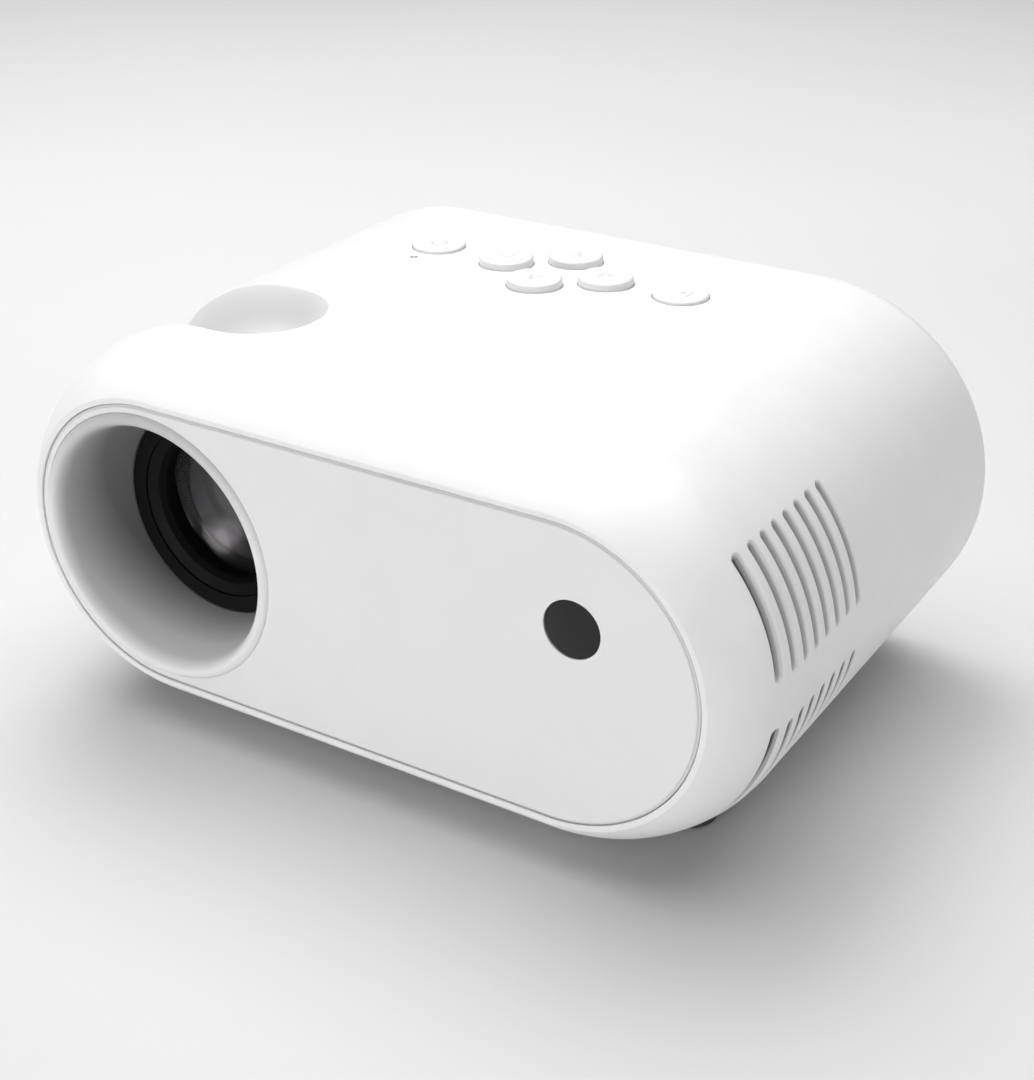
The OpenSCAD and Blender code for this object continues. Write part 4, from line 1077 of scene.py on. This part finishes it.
def make_foot(name, side, y):
    x = side * FOOT_X
    segments, edge = 96, 0.8
    angles = circle_angles(segments)

    def under_casing(a, b):
        across = np.maximum(np.abs(x + a) - HALF_SPAN, 0)
        return -np.sqrt(END_R ** 2 - across ** 2)

    surface = Surface()
    corners = [(0, TABLE_Z)]
    for groove in (2.2, 3.9):
        corners += [(groove, TABLE_Z, 0.1), (groove, TABLE_Z + 0.4), (groove + 0.6, TABLE_Z + 0.4),
                    (groove + 0.6, TABLE_Z, 0.1)]
    sole = rounded(corners + [(FOOT_R, TABLE_Z, edge), (FOOT_R, 0), (0, 0)])[:-2]
    surface.strip(turned(sole, along_z(x, y), segments))
    a, b = FOOT_R * np.cos(angles), FOOT_R * np.sin(angles)
    wall_top = under_casing(a, b)
    wall_low = np.full(segments, TABLE_Z + edge)
    surface.strip([
        np.stack([x + a, y + b, wall_low + (wall_top - wall_low) * share], axis=1)
        for share in (0, 0.35, 0.7, 1)
    ])
    polar(surface, x, y, np.linspace(FOOT_R, PEG_R, 6), under_casing, segments)
    a, b = PEG_R * np.cos(angles), PEG_R * np.sin(angles)
    low = np.stack([x + a, y + b, under_casing(a, b)], axis=1)
    head, head_top, head_r = -IN_R + 4.4, -IN_R + 5.6, PEG_R + 0.8
    barb = [
        (PEG_R, head), (head_r, head), (head_r, head + 0.5), (PEG_R - 0.4, head_top), (0, head_top),
    ]
    surface.strip([low] + turned(barb, along_z(x, y), segments))
    piece(name + "_pad", surface, "rubber", "case", name)


# ---------- focus ring ----------

def make_focus_ring():
    low_y, high_y = SCOOP_Y - RING_W / 2, SCOOP_Y + RING_W / 2
    bore, groove_r, groove = MOUNT_R + 0.05, MOUNT_R + 2, 2.7
    flutes, flute_half, flute_d = 48, 2.3, 0.6
    half_pitch = 180 / flutes
    angles = circle_angles(flutes * 12)
    apart = np.abs((np.degrees(angles) + half_pitch) % (2 * half_pitch) - half_pitch)
    flute = flute_d * np.cos(np.minimum(apart / flute_half, 1) * math.pi / 2) ** 2
    profile = [
        (bore, low_y), (RING_R - 0.9, low_y), (RING_R - 0.25, low_y + 0.12), (RING_R, low_y + 0.5),
        (RING_R, SCOOP_Y), (RING_R, high_y - 0.5), (RING_R - 0.25, high_y - 0.12),
        (RING_R - 0.9, high_y), (bore, high_y), (bore, SCOOP_Y + groove),
        (groove_r, SCOOP_Y + groove), (groove_r, SCOOP_Y - groove), (bore, SCOOP_Y - groove),
    ]
    surface = Surface()
    loops = []
    for r, y in profile:
        share = 1.0 if r >= RING_R else 0.6 if r > RING_R - 0.5 else 0.0
        reach = r - share * flute
        loops.append(np.stack(
            [LENS_X + reach * np.cos(angles), np.full(len(angles), y), reach * np.sin(angles)], axis=1
        ))
    surface.strip(loops + [loops[0]])
    piece("focus_wheel", surface, "rubber", "ring", "focus_ring", sharp=35)


# ---------- back ----------

def make_rear_cover():
    holes = []
    for x, z in COVER_SCREWS:
        levels = round_edge(0.2) + [(0, 1.6), (-1.25, 1.6), (-1.25, COVER_T)]
        holes.append(Hole(circle_outline(x, z, 2.6, 48), levels))
    slot_edge = round_edge(0.3) + [(0, COVER_T)]
    for i in range(VENTS):
        x = GRILLE_X + (i - (VENTS - 1) / 2) * VENT_PITCH
        holes.append(Hole(slot_outline(x, -GRILLE_HALF_H, x, GRILLE_HALF_H, VENT_HALF_W), slot_edge))
    for k in range(4):
        for j in range(max(1, 6 * k)):
            turn = math.radians(60 * j / max(1, k))
            x = SPEAKER_X + SPEAKER_PITCH * k * math.cos(turn)
            holes.append(Hole(circle_outline(x, SPEAKER_PITCH * k * math.sin(turn), 1.0, 28), slot_edge))
    for x, z, half_w, half_h in ((HDMI_X, BOARD_TOP + 2.9, 7.9, 3.3), (USB_X, BOARD_TOP + 3.3, 7.5, 3.7)):
        holes.append(Hole(box_outline(x, z, half_w, half_h, 0.8), slot_edge))
    holes.append(Hole(circle_outline(AV_X, BOARD_TOP + 2.8, 3.6), slot_edge))
    holes.append(Hole(circle_outline(DC_X, BOARD_TOP + 6.4, 5.0), slot_edge))
    surface = Surface()
    plate(surface, COVER_R, 0.5, COVER_T, holes, from_back)
    piece("back_plate", surface, "rear_cover", "case", "rear_cover")


# ---------- all pieces ----------

make_casing()
make_front_panel()
make_hood()
make_ir_window()
for key, spot in SPOTS.items():
    make_button(key, *spot)
make_light_pipe()
for name, (side, y) in FEET.items():
    make_foot(name, side, y)
make_focus_ring()
make_rear_cover()

for name, node in frame["nodes"].items():
    slot = next(s["material_slot"] for s in frame["record"]["subparts"] if s["node"] == name)
    node.data.materials.clear()
    node.data.materials.append(MATERIALS[slot])


# ---------- stage ----------

def make_floor():
    mesh = bpy.data.meshes.new("floor")
    corners = [(3 * x, 3 * y, 0) for x, y in ((-1, -1), (1, -1), (1, 1), (-1, 1))]
    mesh.from_pydata(corners, [], [(0, 1, 2, 3)])
    m = Nodes("floor", (0.71, 0.71, 0.71), 0.8, Specular_IOR_Level=0.2)
    m.colours(m.noise(260, 1), (0.7, 0.7, 0.7), (0.72, 0.72, 0.72))
    mesh.materials.append(m.material)
    floor = bpy.data.objects.new("floor", mesh)
    bpy.context.scene.collection.objects.link(floor)


def make_backdrop():
    """A pale sheet that lights nothing, from the far floor up into a wall all round."""
    profile = [(0.85, 0.001), (1.8, 0.004), (2.6, 0.02), (2.9, 0.2), (3, 0.8), (3, 3)]
    sheet = Surface()
    sheet.strip(turned(profile, along_z(0, 0), 96))
    points, _, faces = sheet.joined()
    mesh = bpy.data.meshes.new("backdrop")
    mesh.from_pydata(points.tolist(), [], faces)
    m = Nodes("backdrop", (0.7, 0.7, 0.7), 1.0)
    away = m.add("ShaderNodeVectorMath", operation="LENGTH")
    m.link(m.place, away.inputs[0])
    pale = m.add("ShaderNodeEmission")
    pale.inputs["Color"].default_value = (0.72, 0.72, 0.72, 1)
    fade = m.add("ShaderNodeMixShader")
    m.link(m.ranged(away.outputs["Value"], 0, 1, 0.87, 1.7), fade.inputs[0])
    m.link(m.add("ShaderNodeBsdfTransparent").outputs[0], fade.inputs[1])
    m.link(pale.outputs[0], fade.inputs[2])
    m.link(fade.outputs[0], m.output.inputs["Surface"])
    m.tree.nodes.remove(m.shader)
    mesh.materials.append(m.material)
    backdrop = bpy.data.objects.new("backdrop", mesh)
    for ray in ("diffuse", "glossy", "transmission", "volume_scatter", "shadow"):
        setattr(backdrop, "visible_" + ray, False)
    bpy.context.scene.collection.objects.link(backdrop)


def area_light(name, at, target, size, power):
    data = bpy.data.lights.new(name, "AREA")
    data.shape = "DISK"
    data.size = size
    data.energy = power
    lamp = bpy.data.objects.new(name, data)
    lamp.location = at
    lamp.rotation_euler = (Vector(target) - Vector(at)).to_track_quat("-Z", "Y").to_euler()
    bpy.context.scene.collection.objects.link(lamp)


def make_lights():
    world = bpy.data.worlds.new("studio")
    world.use_nodes = True
    world.node_tree.nodes["Background"].inputs["Color"].default_value = (1, 1, 1, 1)
    world.node_tree.nodes["Background"].inputs["Strength"].default_value = 0.03
    bpy.context.scene.world = world
    area_light("overhead", (-0.12, 0.1, 1.15), (0, 0, 0.04), 1.8, 15.8)
    area_light("key", (-0.36, 0.24, 0.85), (0, 0, 0.04), 0.6, 3.6)
    area_light("behind", (0.0, 0.55, 0.95), (0, 0, 0.04), 0.7, 0.8)
    area_light("fill_left", (-0.6, -2.1, 0.25), (0, 0, 0.05), 0.9, 17.2)
    area_light("fill_right", (0.7, -2.1, 0.2), (0, 0, 0.05), 0.9, 9.8)
    area_light("side", (2.2, 0.2, 0.35), (0, 0, 0.05), 0.9, 7.2)


def make_camera():
    azimuth, elevation, roll = (math.radians(a) for a in (32.12, 27.43, -0.21))
    level = Vector((math.sin(azimuth), -math.cos(azimuth), 0))
    back = level * math.cos(elevation) + Vector((0, 0, math.sin(elevation)))
    right = Vector((math.cos(azimuth), math.sin(azimuth), 0))
    up = back.cross(right)
    tilted_right = right * math.cos(roll) + up * math.sin(roll)
    tilted_up = up * math.cos(roll) - right * math.sin(roll)
    data = bpy.data.cameras.new("camera")
    data.sensor_width = 36
    data.lens = 61.74
    camera = bpy.data.objects.new("camera", data)
    turn = Matrix((tilted_right, tilted_up, back)).transposed()
    camera.matrix_world = Matrix.Translation((0.1884, -0.2958, 0.2134)) @ turn.to_4x4()
    bpy.context.scene.collection.objects.link(camera)
    bpy.context.scene.camera = camera


make_floor()
make_backdrop()
make_lights()
make_camera()
bpy.context.scene.view_settings.view_transform = "Standard"
